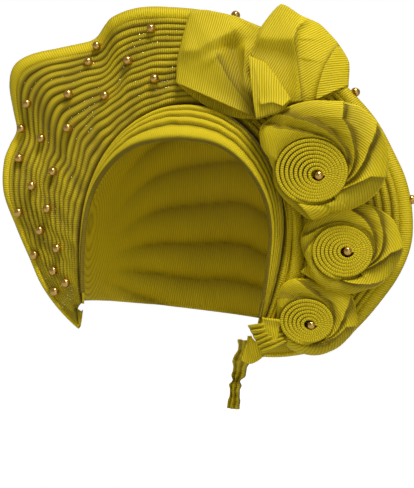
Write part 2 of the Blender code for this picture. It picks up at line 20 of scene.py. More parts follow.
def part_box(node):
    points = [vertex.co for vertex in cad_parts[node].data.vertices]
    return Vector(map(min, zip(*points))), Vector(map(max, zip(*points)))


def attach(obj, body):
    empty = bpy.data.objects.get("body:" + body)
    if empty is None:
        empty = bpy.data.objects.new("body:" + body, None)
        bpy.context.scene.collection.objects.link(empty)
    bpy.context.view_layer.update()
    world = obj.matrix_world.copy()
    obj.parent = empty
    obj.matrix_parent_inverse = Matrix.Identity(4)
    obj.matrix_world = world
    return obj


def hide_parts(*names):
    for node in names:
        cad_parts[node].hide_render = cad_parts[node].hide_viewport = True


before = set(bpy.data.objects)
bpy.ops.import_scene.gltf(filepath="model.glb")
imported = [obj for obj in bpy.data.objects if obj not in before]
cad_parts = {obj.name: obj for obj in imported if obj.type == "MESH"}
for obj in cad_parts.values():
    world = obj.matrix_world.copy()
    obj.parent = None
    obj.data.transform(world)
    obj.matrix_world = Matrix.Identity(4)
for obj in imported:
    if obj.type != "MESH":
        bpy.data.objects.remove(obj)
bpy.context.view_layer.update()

LOG = logging.getLogger("head_tie")
Array = np.ndarray
BODY = "root"
TO_BACK = np.array([0.0, 1.0, 0.0])
THREAD_PITCH = 0.36  # of a rib's pitch


class Slot(Enum):
    """Finish slots of the head tie."""

    CLOTH = "lemon_cloth"
    METAL = "bead_metal"


class Held(Enum):
    """How a sheet of cloth keeps its shape."""

    DRAPED = "draped"
    FOLDED = "folded"
    GATHERED = "gathered"
    HUNG = "hung"


# Parts that every piece needs


def add_object(name: str, data: bpy.types.ID) -> bpy.types.Object:
    """Puts a mesh, a light or a camera into the scene."""
    thing = bpy.data.objects.new(name, data)
    bpy.context.scene.collection.objects.link(thing)
    return thing


# Shares, tables and vectors


def blend(low: Array | float, high: Array | float, share: Array | float) -> Array | float:
    """Value between low and high at a share from 0 to 1."""
    return low + (high - low) * share


def ease(low: float, high: float, at: Array) -> Array:
    """Smooth step from 0 at low to 1 at high."""
    share = np.clip((at - low) / (high - low), 0.0, 1.0)
    return share * share * (3.0 - 2.0 * share)


def bump(at: Array, middle: float, width: float) -> Array:
    """Bell of height 1 round a middle."""
    return np.exp(-((at - middle) / width) ** 2)


def read_table(keys: tuple, values: tuple, at: Array) -> Array:
    """Smooth curve through the rows of a table.

    Args:
        keys: the column that is looked up, rising or falling.
        values: the column that is read.
        at: where to read.

    Returns:
        The values there.
    """
    keys = np.asarray(keys, float)
    values = np.asarray(values, float)
    if keys[0] > keys[-1]:
        keys, values = keys[::-1], values[::-1]
    last = len(keys) - 1
    at = np.clip(at, keys[0], keys[-1])
    i = np.clip(np.searchsorted(keys, at, side="right") - 1, 0, last - 1)
    low = np.maximum(np.arange(last + 1) - 1, 0)
    high = np.minimum(np.arange(last + 1) + 1, last)
    slopes = (values[high] - values[low]) / (keys[high] - keys[low])
    span = keys[i + 1] - keys[i]
    t = (at - keys[i]) / span
    rise = values[i + 1] - values[i]
    start, end = slopes[i] * span, slopes[i + 1] * span
    return values[i] + t * start + t**2 * (3 * rise - 2 * start - end) + t**3 * (start + end - 2 * rise)


def read_rim(rows: tuple, share: Array, column: int) -> Array:
    """One column of a rim table at a share of its row count, with straight runs between rows."""
    values = [row[column] for row in rows]
    return np.interp(share * (len(rows) - 1), np.arange(len(rows)), values)


def stack(x: Array, y: Array, z: Array) -> Array:
    """Points from three arrays of coordinates, which are spread to one shape."""
    return np.stack(np.broadcast_arrays(x, y, z), axis=-1)


def unit(vectors: Array) -> Array:
    """Vectors scaled to length 1."""
    return vectors / np.linalg.norm(vectors, axis=-1, keepdims=True)


def ripple(at: Array, order: Array, seed: int, waves: tuple) -> Array:
    """Slow hand-made waver, about -1 to 1, that drifts from one fold to the next.

    Args:
        at: place along the fold, in turns.
        order: number of the fold, which shifts the waver a little.
        seed: which waver it is.
        waves: how many waves there are in a turn, one count for each wave.

    Returns:
        The waver for each place and fold.
    """
    dice = np.random.default_rng(seed)
    total = 0.0
    for count in waves:
        start, drift = dice.uniform(0, 2 * np.pi), dice.uniform(0.25, 0.75)
        total = total + np.sin(2 * np.pi * count * at + start + drift * order)
    return total / len(waves)


# The head that the cloth goes round


@dataclass(frozen=True)
class HeadForm:
    """The egg-shaped space that the head tie is wrapped round."""

    half_width: float = 0.076
    half_length: float = 0.098
    crown: float = 0.095
    nape: float = 0.150

    @property
    def centre(self) -> Array:
        """Middle of the space."""
        return np.array([0.0, 0.0, -self.crown])

    def point(self, angle: Array, y: Array, lift: Array | float) -> Array:
        """Points on the form.

        Args:
            angle: degrees round the Y axis, 0 at the viewer's right and 90 at the top.
            y: depth.
            lift: distance off the form, along its normal.

        Returns:
            The points.
        """
        level = np.sqrt(np.maximum(1.0 - (y / self.half_length) ** 2, 0.0))
        c, s = np.cos(np.radians(angle)), np.sin(np.radians(angle))
        tall = np.where(s >= 0, self.crown, self.nape)
        ring = level / np.sqrt((c / self.half_width) ** 2 + (s / tall) ** 2)
        x, z = ring * c, ring * s
        normal = unit(stack(x / self.half_width**2, y / self.half_length**2, z / tall**2))
        return self.centre + stack(x, y, z) + normal * np.asarray(lift)[..., None]

    def toward(self, direction: Array, lift: Array | float) -> Array:
        """Points on the form in directions from its middle, lifted along its normal."""
        tall = np.where(direction[..., 2] >= 0, self.crown, self.nape)
        size = stack(self.half_width, self.half_length, tall)
        place = direction / np.linalg.norm(direction / size, axis=-1, keepdims=True)
        return self.centre + place + unit(place / size**2) * np.asarray(lift)[..., None]

    def polar(self, angle: Array, radius: Array, y: Array) -> Array:
        """Points at an angle and radius round the form's middle, at depth y."""
        turn = np.radians(angle)
        return self.centre + stack(radius * np.cos(turn), y, radius * np.sin(turn))


HEAD = HeadForm()


# Meshes


def weave_of(u: Array, v: Array, closed: bool = False) -> Array:
    """Weave map of a sheet whose U and V run on from face to face.

    Args:
        u: metres across the ribs, for each point.
        v: metres along the ribs, for each point.
        closed: True where the last column joins the first.

    Returns:
        U and V for the four corners of each face.
    """
    u, v = np.broadcast_arrays(u, v)
    return weave_by_band(u[:-1], v, closed, u[1:])


def weave_by_band(low: Array, v: Array, closed: bool = False, high: Array | None = None) -> Array:
    """Weave map of a sheet whose ribs break at each row, as they do at a pleat.

    Args:
        low: metres across the ribs at the lower points of each row of faces.
        v: metres along the ribs, for each point.
        closed: True where the last column joins the first.
        high: the same as low for the upper points, if they differ.

    Returns:
        U and V for the four corners of each face.
    """
    low, high = (np.broadcast_to(x, v[1:].shape) for x in (low, low if high is None else high))
    below, above = np.stack([low, v[:-1]], -1), np.stack([high, v[1:]], -1)
    if closed:
        step = lambda rows: np.roll(rows, -1, axis=1)
        last = 2 * below[:, -1] - below[:, -2], 2 * above[:, -1] - above[:, -2]
        right_below, right_above = step(below), step(above)
        right_below[:, -1], right_above[:, -1] = last
        return np.stack([below, right_below, right_above, above], axis=2)
    return np.stack([below[:, :-1], below[:, 1:], above[:, 1:], above[:, :-1]], axis=2)


def runs(points: Array, axis: int) -> Array:
    """Length run along a grid of points, from its first row or column."""
    steps = np.linalg.norm(np.diff(points, axis=axis), axis=-1)
    pad = [(0, 0), (0, 0)]
    pad[axis] = (1, 0)
    return np.pad(np.cumsum(steps, axis=axis), pad)


@dataclass
class ClothGrid:
    """A sheet of cloth drawn on a grid of points."""

    points: Array
    weave: Array
    # Painted light and shade of each point: 0 is the darkest painted shade, 1 is full painted light.
    crest: Array
    wall: float
    grow: Array
    closed: bool = False
    pole: Array | None = None

    def make(self, name: str, cloth: bpy.types.Material) -> bpy.types.Object:
        """Builds the sheet with its wall, as one closed mesh.

        Args:
            name: the piece's name.
            cloth: its material.

        Returns:
            The piece.
        """
        rows, columns = self.points.shape[:2]
        index = np.arange(rows * columns).reshape(rows, columns)
        left = index if self.closed else index[:, :-1]
        right = np.roll(index, -1, axis=1) if self.closed else index[:, 1:]
        faces = np.stack([left[:-1], right[:-1], right[1:], left[1:]], -1).reshape(-1, 4).tolist()
        vertices = self.points.reshape(-1, 3)
        crest = self.crest.ravel()
        weave = self.weave.reshape(-1, 2)
        if self.pole is not None:
            vertices = np.vstack([vertices, self.pole])
            crest = np.append(crest, crest[-columns:].mean())
            tips = [(left[-1][i], right[-1][i], rows * columns) for i in range(len(left[-1]))]
            faces += [tuple(int(k) for k in tip) for tip in tips]
            weave = np.vstack([weave, self.weave[-1][:, (3, 2, 2)].reshape(-1, 2)])
        mesh = bpy.data.meshes.new(name)
        mesh.from_pydata(vertices.tolist(), [], faces)
        mesh.uv_layers.new(name="weave").data.foreach_set("uv", weave.ravel())
        # The painted light and shade goes on each point, for the cloth material to read.
        value = mesh.attributes.new("crest", "FLOAT", "POINT")
        value.data.foreach_set("value", crest)
        mesh.materials.append(cloth)
        piece = add_object(name, mesh)
        first = mesh.polygons[0]
        wall = piece.modifiers.new("wall", "SOLIDIFY")
        wall.thickness = self.wall
        wall.offset = math.copysign(1.0, first.normal.dot(Vector(self.grow)))
        wall.use_even_offset = False
        settle(piece)
        return piece


def settle(piece: bpy.types.Object) -> None:
    """Turns a piece's modifiers into its mesh, smooth, with its faces outward."""
    graph = bpy.context.evaluated_depsgraph_get()
    graph.update()
    mesh = bpy.data.meshes.new_from_object(piece.evaluated_get(graph))
    old = piece.data
    piece.modifiers.clear()
    piece.data = mesh
    bpy.data.meshes.remove(old)
    mesh.name = piece.name
    shell = bmesh.new()
    shell.from_mesh(mesh)
    if shell.calc_volume(signed=True) < 0:
        bmesh.ops.reverse_faces(shell, faces=shell.faces)
    shell.to_mesh(mesh)
    shell.free()
    mesh.polygons.foreach_set("use_smooth", [True] * len(mesh.polygons))
    mesh.update()


def seat_like(points: Array, node: str, direction: Array) -> Array:
    """Slides points along a direction until their middle lies level with a node's middle."""
    low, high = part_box(node)
    middle = (np.array(low) + np.array(high)) / 2
    own = (points.reshape(-1, 3).min(axis=0) + points.reshape(-1, 3).max(axis=0)) / 2
    way = direction / np.linalg.norm(direction)
    return points + way * np.dot(middle - own, way) / np.dot(way, way)


@dataclass
class Piece:
    """A piece of the head tie that stands for one or more nodes of the frame."""

    name: str
    nodes: tuple[str, ...]
    slot: Slot = Slot.CLOTH

    def place(self, piece: bpy.types.Object) -> None:
        """Ties a finished piece to the frame and reports it."""
        if self.nodes:
            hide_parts(*self.nodes)
        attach(piece, BODY)
        nodes = ", ".join(self.nodes) or "no node"
        LOG.info("%s: %d faces for %s", self.name, len(piece.data.polygons), nodes)


@dataclass
class Sheet(Piece):
    """A piece that is a sheet of cloth, with the size it was cut to."""

    flat: tuple[float, float] = (0.1, 0.1)
    held: Held = Held.FOLDED
    rests_on: tuple[str, ...] = ("crown_cap",)
    wall: float = 0.0011

    def grid(self) -> ClothGrid:
        """The sheet's grid; each kind of sheet draws its own."""
        raise NotImplementedError

    def build(self, cloth: bpy.types.Material) -> bpy.types.Object:
        """Builds the sheet and ties it to the frame.

        Args:
            cloth: its material.

        Returns:
            The piece.
        """
        piece = self.grid().make(self.name, cloth)
        self.place(piece)
        list(self.rests_on)
        return piece


# Node trees and finishes


@dataclass
class Board:
    """Adds nodes to a tree and joins them."""

    tree: bpy.types.NodeTree

    def feed(self, sockets: bpy.types.bpy_prop_collection, **inputs: object) -> None:
        """Joins or sets a node's inputs.

        Args:
            sockets: the node's inputs.
            **inputs: values or sockets for them; a name's underscores stand for spaces, and a
                name such as i0 means the input's number.
        """
        for key, value in inputs.items():
            number = key[1:].isdigit() and key[0] == "i"
            socket = sockets[int(key[1:])] if number else sockets[key.replace("_", " ")]
            if isinstance(value, bpy.types.NodeSocket):
                self.tree.links.new(value, socket)
            else:
                socket.default_value = value

    def node(self, kind: str, settings: dict | None = None, **inputs: object) -> bpy.types.Node:
        """Adds a node.

        Args:
            kind: the node's type.
            settings: properties to set on it.
            **inputs: its inputs, as feed takes them.

        Returns:
            The node.
        """
        node = self.tree.nodes.new(kind)
        for key, value in (settings or {}).items():
            setattr(node, key, value)
        self.feed(node.inputs, **inputs)
        return node

    def shape(self, kind: str, settings: dict | None = None, **inputs: object) -> bpy.types.NodeSocket:
        """Adds a Geometry Nodes node and gives its first output."""
        return self.node(f"GeometryNode{kind}", settings, **inputs).outputs[0]

    def maths(self, operation: str, *values: object) -> bpy.types.NodeSocket:
        """Adds a Math node and gives its result."""
        inputs = {f"i{i}": value for i, value in enumerate(values)}
        return self.node("ShaderNodeMath", {"operation": operation}, **inputs).outputs[0]

    def vectors(self, operation: str, **inputs: object) -> bpy.types.NodeSocket:
        """Adds a Vector Math node and gives its vector."""
        return self.node("ShaderNodeVectorMath", {"operation": operation}, **inputs).outputs[0]

    def triple(self, **inputs: object) -> bpy.types.NodeSocket:
        """Adds a vector made of X, Y and Z."""
        return self.node("ShaderNodeCombineXYZ", **inputs).outputs[0]

    def remap(self, value: object, *limits: object) -> bpy.types.NodeSocket:
        """Adds a Map Range node, whose limits are from low, from high, to low and to high."""
        inputs = {f"i{i + 1}": limit for i, limit in enumerate(limits)}
        return self.node("ShaderNodeMapRange", Value=value, **inputs).outputs[0]

    def noise(self, place: object, scale: float, detail: float) -> bpy.types.NodeSocket:
        """Adds a noise and gives its value."""
        return self.node("ShaderNodeTexNoise", Vector=place, Scale=scale, Detail=detail).outputs["Fac"]

    def mix(self, share: object, low: object, high: object) -> bpy.types.NodeSocket:
        """Adds a colour mix and gives its result."""
        return self.node("ShaderNodeMix", {"data_type": "RGBA"}, i0=share, i6=low, i7=high).outputs[2]

    def store(self, shape: object, name: str, value: object, kind: str = "FLOAT",
              at: str = "POINT") -> object:
        """Stores a named value on a shape and gives the shape."""
        settings = {"data_type": kind, "domain": at}
        return self.shape("StoreNamedAttribute", settings, Geometry=shape, Name=name, Value=value)

    def socket(self, name: str, kind: str, value: object = None, out: bool = False) -> None:
        """Adds a named socket to the tree's interface."""
        way = "OUTPUT" if out else "INPUT"
        socket = self.tree.interface.new_socket(name=name, in_out=way, socket_type=f"NodeSocket{kind}")
        if value is not None:
            socket.default_value = value

    def close(self, **results: object) -> None:
        """Ends the tree with its results."""
        self.feed(self.tree.nodes.new("NodeGroupOutput").inputs, **results)


def ribbed_weave() -> bpy.types.NodeTree:
    """Shader group of the ribbed cloth: how light each point is painted, and how high.

    Returns:
        The group. Shade is painted shade, 0 in the darkest fold and 1 on a lit rib. Height is about 0 to 1.
    """
    tree = bpy.data.node_groups.new("ribbed_weave", "ShaderNodeTree")
    board = Board(tree)
    for row in (
        ("Weave", "Vector"), ("Place", "Vector"), ("Crest", "Float", 1.0), ("Rib Pitch", "Float", 0.0015),
        ("Rib Contrast", "Float", 0.3), ("Fold Contrast", "Float", 0.6),
    ):
        board.socket(*row)
    for name in ("Shade", "Height", "Roughness"):
        board.socket(name, "Float", out=True)
    given = tree.nodes.new("NodeGroupInput").outputs
    parts = board.node("ShaderNodeSeparateXYZ", i0=given["Weave"]).outputs
    noises = ((90.0, 2.0), (28.0, 3.0), (1400.0, 3.0))
    drift, cloud, fibre = (board.noise(given["Place"], *row) for row in noises)
    across = board.maths("DIVIDE", parts[0], given["Rib Pitch"])
    across = board.maths("MULTIPLY_ADD", drift, 0.5, across)
    rib = board.maths("ABSOLUTE", board.maths("SINE", board.maths("MULTIPLY", across, math.pi)))
    rib = board.maths("POWER", rib, 0.7)
    groove = board.maths("SUBTRACT", 1.0, rib)
    along = board.maths("DIVIDE", parts[1], board.maths("MULTIPLY", given["Rib Pitch"], THREAD_PITCH))
    shift = board.maths("MULTIPLY", board.maths("FLOOR", across), 0.5)
    thread = board.maths("SINE", board.maths("MULTIPLY", board.maths("ADD", along, shift), 2 * math.pi))
    height = board.maths("MULTIPLY_ADD", thread, 0.07, rib)
    height = board.maths("MULTIPLY_ADD", fibre, 0.10, height)
    # Painted shade in the groove of each rib.
    ribs = board.maths("SUBTRACT", 1.0, board.maths("MULTIPLY", groove, given["Rib Contrast"]))
    # Painted shade in the folds, from the crest value: the lower it is, the darker.
    painted_shade = board.maths("SUBTRACT", 1.0, board.maths("POWER", given["Crest"], 0.8))
    folds = board.maths("SUBTRACT", 1.0, board.maths("MULTIPLY", painted_shade, given["Fold Contrast"]))
    shade = board.maths("MULTIPLY", ribs, folds)
    shade = board.maths("MULTIPLY", shade, board.maths("MULTIPLY_ADD", cloud, 0.22, 0.89))
    board.close(Shade=shade, Height=height, Roughness=board.maths("MULTIPLY_ADD", groove, 0.2, 0.5))
    return tree


def new_finish(name: str) -> tuple[bpy.types.Material, Board, bpy.types.bpy_prop_collection]:
    """Starts a material.

    Args:
        name: the material's name.

    Returns:
        The material, a board for its nodes and its shader's inputs.
    """
    material = bpy.data.materials.new(name)
    material.use_nodes = True
    return material, Board(material.node_tree), material.node_tree.nodes["Principled BSDF"].inputs


@dataclass(frozen=True)
class RibbedCloth:
    """The lemon cloth: fine ribs with a soft sheen, and painted shade in its folds and rib grooves."""

    name: str
    # lit is the cloth's colour in full light; the colour below it is the painted shade that folds darken to.
    lit: tuple = (0.78, 0.595, 0.004, 1.0)
    painted_shade: tuple = (0.052, 0.024, 0.0004, 1.0)
    rib_pitch: float = 0.0015
    rib_height: float = 0.00040
    rib_contrast: float = 0.42
    fold_contrast: float = 0.60
    sheen_tint: tuple = (1.0, 0.85, 0.12, 1.0)

    def material(self, weave: bpy.types.NodeTree) -> bpy.types.Material:
        """Makes the material.

        Args:
            weave: the shader group of the ribs and the painted shade.

        Returns:
            The material.
        """
        material, board, shader = new_finish(self.name)
        ribs = board.node(
            "ShaderNodeGroup", {"node_tree": weave},
            Weave=board.node("ShaderNodeUVMap", {"uv_map": "weave"}).outputs[0],
            Place=board.node("ShaderNodeTexCoord").outputs["Object"],
            Crest=board.node("ShaderNodeAttribute", {"attribute_name": "crest"}).outputs["Fac"],
            Rib_Pitch=self.rib_pitch, Rib_Contrast=self.rib_contrast, Fold_Contrast=self.fold_contrast,
        ).outputs
        raised = board.node("ShaderNodeBump", Strength=0.9, Distance=self.rib_height, Height=ribs["Height"])
        # Base colour runs from the painted shade colour to the lit colour by the group's painted Shade.
        board.feed(
            shader, Base_Color=board.mix(ribs["Shade"], self.painted_shade, self.lit), Roughness=ribs["Roughness"],
            Normal=raised.outputs[0], Sheen_Weight=0.12, Sheen_Roughness=0.4, Sheen_Tint=self.sheen_tint,
            Specular_IOR_Level=0.22,
        )
        return material


@dataclass(frozen=True)
class PolishedMetal:
    """Polished bead metal with faint handling marks."""

    name: str
    colour: tuple
    roughness: float

    def material(self) -> bpy.types.Material:
        """Makes the material."""
        material, board, shader = new_finish(self.name)
        marks = board.noise(board.node("ShaderNodeTexCoord").outputs["Object"], 520.0, 4.0)
        dull = tuple(0.72 * c for c in self.colour[:3]) + (1.0,)
        rough = board.maths("MULTIPLY_ADD", marks, 0.14, self.roughness)
        board.feed(shader, Base_Color=board.mix(marks, self.colour, dull), Roughness=rough, Metallic=1.0)
        return material


# Crown, brow and fan


FAN_EDGE = (
    (228, 0.650, 0.0), (218, 0.673, 0.0), (206, 0.707, 0.2), (195, 0.740, 0.5), (184, 0.793, 0.1),
    (174, 0.860, -0.6), (165, 0.907, -0.2), (161, 0.918, 0.3), (156, 0.930, 0.7), (152, 0.990, 0.5),
    (147, 1.065, -0.4), (143, 1.093, -1.0), (139, 1.080, -0.9), (132, 1.025, 0.0), (125, 0.987, 0.9),
    (122, 0.987, 0.8), (119, 1.010, 0.3), (116, 1.025, -0.4), (109, 1.025, -0.8), (100, 1.005, -0.3),
    (92, 0.992, 0.2), (84, 0.978, 0.0), (75, 0.965, 0.0), (60, 0.952, 0.0), (46, 0.958, 0.0),
    (37, 0.972, 0.1), (28, 0.980, 0.0), (20, 0.996, -0.1), (12, 1.000, 0.1), (4, 0.992, 0.2),
    (-4, 0.958, 0.0), (-12, 0.912, -0.2), (-21, 0.868, -0.1), (-26, 0.845, 0.1), (-38, 0.745, 0.2),
    (-50, 0.645, 0.1),
)
HEM = (
    (221, 0.69), (192, 0.73), (162, 0.77), (144, 0.85), (125, 0.93), (105, 1.00), (85, 1.00),
    (68, 0.95), (45, 0.88), (25, 0.82), (8, 0.79), (-11, 0.77), (-28, 0.74), (-42, 0.70),
)
BROW_Y = -0.0780


def column(rows: tuple, number: int) -> tuple:
    """One column of a table."""
    return tuple(row[number] for row in rows)


def hem_y(angle: Array) -> Array:
    """Depth of the cloth's front hem at an angle."""
    return BROW_Y * read_table(column(HEM, 0), column(HEM, 1), angle)


@dataclass
class CrownCap(Sheet):
    """The dome over the head, in soft folds that spread from ear to ear."""

    lift: float = 0.0020
    rim_z: float = -0.150
    hem_tuck: float = 0.0012
    folds: int = 11
    fold_height: float = 0.0016
    fold_start_y: float = -0.030
    arch: int = 150
    back: int = 110

    def border(self) -> Array:
        """Directions of the dome's edge, round the face and then round the nape."""
        angle = blend(221.0, -42.0, np.linspace(0, 1, self.arch + 1))
        front = HEAD.point(angle, hem_y(angle) + self.hem_tuck, 0.0) - HEAD.centre
        drop = self.rim_z - HEAD.centre[2]
        ring = math.sqrt(1.0 - (drop / HEAD.nape) ** 2)
        turn = np.radians(blend(-36.0, 216.0, np.linspace(0, 1, self.back + 1)[1:-1]))
        rear = stack(HEAD.half_width * ring * np.cos(turn), HEAD.half_length * ring * np.sin(turn), drop)
        return unit(np.vstack([front, rear]))

    def grid(self) -> ClothGrid:
        """Draws the dome from its edge to its middle."""
        edge = self.border()[None]
        pole = unit(np.array([0.0, 0.62, 0.78]))
        v = np.concatenate([np.linspace(0, 0.9, 70), np.linspace(0.915, 0.99, 6)])[:, None]
        wide = np.arccos(np.clip(edge @ pole, -1, 1))
        from_edge, from_pole, whole = (np.sin(share * wide)[..., None] for share in (1 - v, v, 1.0))
        ways = (from_edge * edge + from_pole * pole) / whole
        flat = HEAD.toward(ways, 0.0)
        x, y, z = flat[..., 0], flat[..., 1], flat[..., 2] + 0.128
        turn = np.degrees(np.arctan2(z, y - 0.004)) / 180.0
        phase = (turn + 0.012 * ripple(x / 0.15, 0.0, 5, (1, 2))) * self.folds
        share = phase - np.floor(phase)
        pleat = np.sin(np.pi * share**0.55) ** 0.9
        shown = ease(self.fold_start_y, self.fold_start_y + 0.03, y) * ease(0.075, 0.045, np.abs(x))
        roll = np.exp(-v * 40) * ease(self.fold_start_y, 0.0, y)
        lift = self.lift + self.fold_height * (pleat * shown + 0.5 * roll)
        points = HEAD.toward(ways, lift)
        top = HEAD.toward(pole[None], self.lift + self.fold_height * 0.5)
        # Painted shade in the grooves between the crown's folds.
        crest = blend(1.0, 0.25 + 0.75 * pleat, shown)
        arc = HEAD.half_width * np.arcsin(np.clip(x / (1.06 * HEAD.half_width), -1.0, 1.0))
        weave = weave_of(arc + 0 * v, np.hypot(y, z) * turn * np.pi, closed=True)
        grow = HEAD.centre - points[0, 0]
        return ClothGrid(points, weave, crest, self.wall, grow, True, top)


@dataclass
class BrowWrap(Sheet):
    """The pleats round the face, each one lapped over the next."""

    back_y: float = -0.0535
    pleats: int = 4
    pleat_height: float = 0.0034
    base_lift: float = 0.0036
    cuts: tuple = (0.0, 0.34, 0.57, 0.79, 1.0)
    tuck: tuple = ((0.014, -0.0030), (0.002, -0.0024), (-0.012, -0.0012), (-0.014, 0.0004))
    stations: int = 360
    stations_up: tuple = (0.0, 0.05, 0.13, 0.24, 0.38, 0.55, 0.72, 0.88, 0.96)

    def grid(self) -> ClothGrid:
        """Draws the pleats from the front hem to the back."""
        u = np.linspace(0, 1, self.stations + 1)
        angle = blend(219.0, -40.0, u)
        front = hem_y(angle)
        height = np.minimum(self.pleat_height, 0.55 * np.abs(self.back_y - front) / self.pleats)
        wave = bump(angle, 146.0, 30.0) + 0.35
        edges = []
        for k in range(self.pleats + 1):
            free = 0.0 if k in (0, self.pleats) else 1.0
            share = self.cuts[k]
            slow, quick = ripple(u, k * 1.0, 11, (5, 8, 13)), ripple(u, k * 2.0, 12, (21, 30))
            edges.append(np.clip(share + free * (0.030 * wave * slow + 0.010 * quick), 0.0, 1.0))
        lines, crests, ups = [], [], []
        for back, rise in self.tuck:
            lines.append(back + 0 * u)
            # Painted shade on the cloth tucked under the front hem.
            crests.append(0.12 + 0 * u)
            ups.append(rise + height * 0.2)
        for k in range(self.pleats):
            for share in self.stations_up:
                if k == 0 and share == 0.0:
                    continue
                roll = math.sin(math.pi * share**0.60) ** 0.75 if share else 0.0
                if k == 0:
                    roll = max(roll, 0.75) if share < 0.3 else roll
                lines.append(blend(edges[k], edges[k + 1], share))
                # Painted light on the top of each pleat and painted shade in the grooves between them.
                crests.append(min(1.0, roll * 1.15) + 0 * u)
                ups.append(height * roll)
        lines.append(1.0 + 0 * u)
        # Painted shade at the back edge, where the wrap goes under the fan.
        crests.append(0 * u)
        ups.append(0 * u)
        v, crest, up = np.array(lines), np.array(crests), np.array(ups)
        y = front + (self.back_y - front) * v
        points = HEAD.point(angle[None], y, self.base_lift + up)
        weave = weave_by_band(runs(points, 1)[:-1], runs(points, 0))
        return ClothGrid(points, weave, crest, self.wall, HEAD.centre - points[0, 0])


@dataclass
class PleatedFan(Sheet):
    """The fan that stands up round the head: stitched pleats and a rolled edge."""

    reach: float = 0.150
    root_y: float = -0.0500
    edge_y: float = -0.0350
    swing: float = 0.0070
    root_lift: float = 0.0042
    pleats: int = 14
    pleat_height: float = 0.0023
    rim_width: float = 0.0072
    columns: int = 380
    held_left: float = 221.0
    held_right: float = -42.0
    pleat_shares: tuple = (0.0, 0.06, 0.16, 0.32, 0.50, 0.68, 0.84, 0.94)
    rim_shares: tuple = (0.0, 0.04, 0.10, 0.20, 0.34, 0.50, 0.66, 0.80, 0.90, 0.96, 1.0)
    rim_back: tuple = (
        (0.0002, 0.0012), (0.0008, 0.0028), (0.0022, 0.0042), (0.0045, 0.0050), (0.0075, 0.0052),
    )

    def angles(self) -> Array:
        """Angles of the fan's columns."""
        return np.linspace(228.0, -50.0, self.columns + 1)

    def start(self, angle: Array) -> Array:
        """Radius of the fan's root."""
        root = HEAD.point(angle, self.root_y + 0 * angle, self.root_lift) - HEAD.centre
        return np.hypot(root[..., 0], root[..., 2])

    def end(self, angle: Array) -> Array:
        """Radius of the fan's edge."""
        return self.reach * read_table(column(FAN_EDGE, 0), column(FAN_EDGE, 1), angle)

    def plane_y(self, angle: Array, radius: Array) -> Array:
        """Depth of the fan between its pleats."""
        v = (radius - self.start(angle)) / (self.end(angle) - self.start(angle))
        lobe = self.swing * read_table(column(FAN_EDGE, 0), column(FAN_EDGE, 2), angle) * v * v
        return blend(self.root_y, self.edge_y, v) + lobe

    def rim(self, angle: Array) -> Array:
        """Width of the rolled edge, which is broad over the top and down the right."""
        pitch = (self.end(angle) - self.start(angle)) / (self.pleats + 1)
        broad = ease(152.0, 140.0, angle) * ease(-34.0, -10.0, angle)
        return blend(pitch, np.maximum(self.rim_width, pitch), broad)

    def grooves(self, angle: Array) -> Array:
        """Radius of each groove between pleats, one row for each, from the root to the rim."""
        turn = angle / 360.0
        order = np.arange(self.pleats)[:, None]
        busy = ease(92.0, 118.0, angle) * 0.7 + 0.3
        widths = 1.0 + busy * 0.34 * ripple(turn, order * 2.2, 21, (3, 7, 11))
        share = np.vstack([0 * angle[None], np.cumsum(widths, axis=0) / widths.sum(axis=0)])
        start, end = self.start(angle), self.end(angle) - self.rim(angle)
        lines = start + (end - start) * share
        waver = 0.00080 * ripple(turn, np.arange(self.pleats + 1)[:, None] * 0.8, 22, (17, 29, 41))
        inside = np.sin(np.pi * share) ** 0.5
        return lines + waver * busy * inside

    def grid(self) -> ClothGrid:
        """Draws the fan from its root to its rolled edge."""
        angle = self.angles()
        lines = self.grooves(angle)
        end = self.end(angle)
        radii, heights, crests, bands = [], [], [], []
        beaded = ease(84.0, 104.0, angle)
        # Painted shade: the beaded side of the fan is painted darker, and its lit pleat tops narrower.
        shaded, sharp = blend(0.90, 0.66, beaded), blend(4.0, 6.5, beaded)
        for k in range(self.pleats):
            low, high = lines[k], lines[k + 1]
            uneven = 1.0 + (0.12 + 0.24 * beaded) * ripple(angle / 360.0, k * 1.7, 23, (9, 19, 33))
            height = np.minimum(self.pleat_height, 0.66 * (high - low)) * uneven
            for share in self.pleat_shares:
                roll = math.sin(math.pi * share**1.15) ** 0.62 if share else 0.0
                radii.append(blend(low, high, share) + 0.30 * height * roll)
                heights.append(height * roll - 0.0004 * (1 - roll))
                # Painted light on each pleat's top and painted shade in its grooves; taller pleats are
                # painted lighter.
                crests.append(np.clip(roll**sharp * shaded * uneven, 0.0, 1.0))
                bands.append((low + high) / 2)
        low = lines[self.pleats]
        for share in self.rim_shares:
            roll = math.sin(math.pi * (0.06 + 0.80 * share) ** 0.8) ** 0.6 if share else 0.0
            radii.append(blend(low, end, share))
            heights.append(self.pleat_height * 1.25 * roll - 0.0004 * (1 - roll))
            # Painted light on the rolled edge.
            crests.append(min(1.0, roll * 1.1) + 0 * angle)
            bands.append((low + end) / 2)
        depth = [self.plane_y(angle, r) - h for r, h in zip(radii, heights)]
        for back, behind in self.rim_back:
            radii.append(end - back)
            depth.append(self.plane_y(angle, end) + behind)
            # Painted light level for the back of the rolled edge.
            crests.append(0.8 + 0 * angle)
            bands.append(end)
        radius, y = np.array(radii), np.array(depth)
        share = np.clip((radius - self.start(angle)) / (end - self.start(angle)), 0.0, 1.0)
        held = np.clip(angle, self.held_right, self.held_left)
        points = HEAD.polar(blend(held, angle, share), radius, y)
        turn = np.radians(angle[0] - angle)
        run = np.cumsum(np.gradient(turn) * np.array(bands), axis=1)
        weave = weave_by_band(run[:-1], radius)
        return ClothGrid(points, weave, np.array(crests), self.wall, TO_BACK)


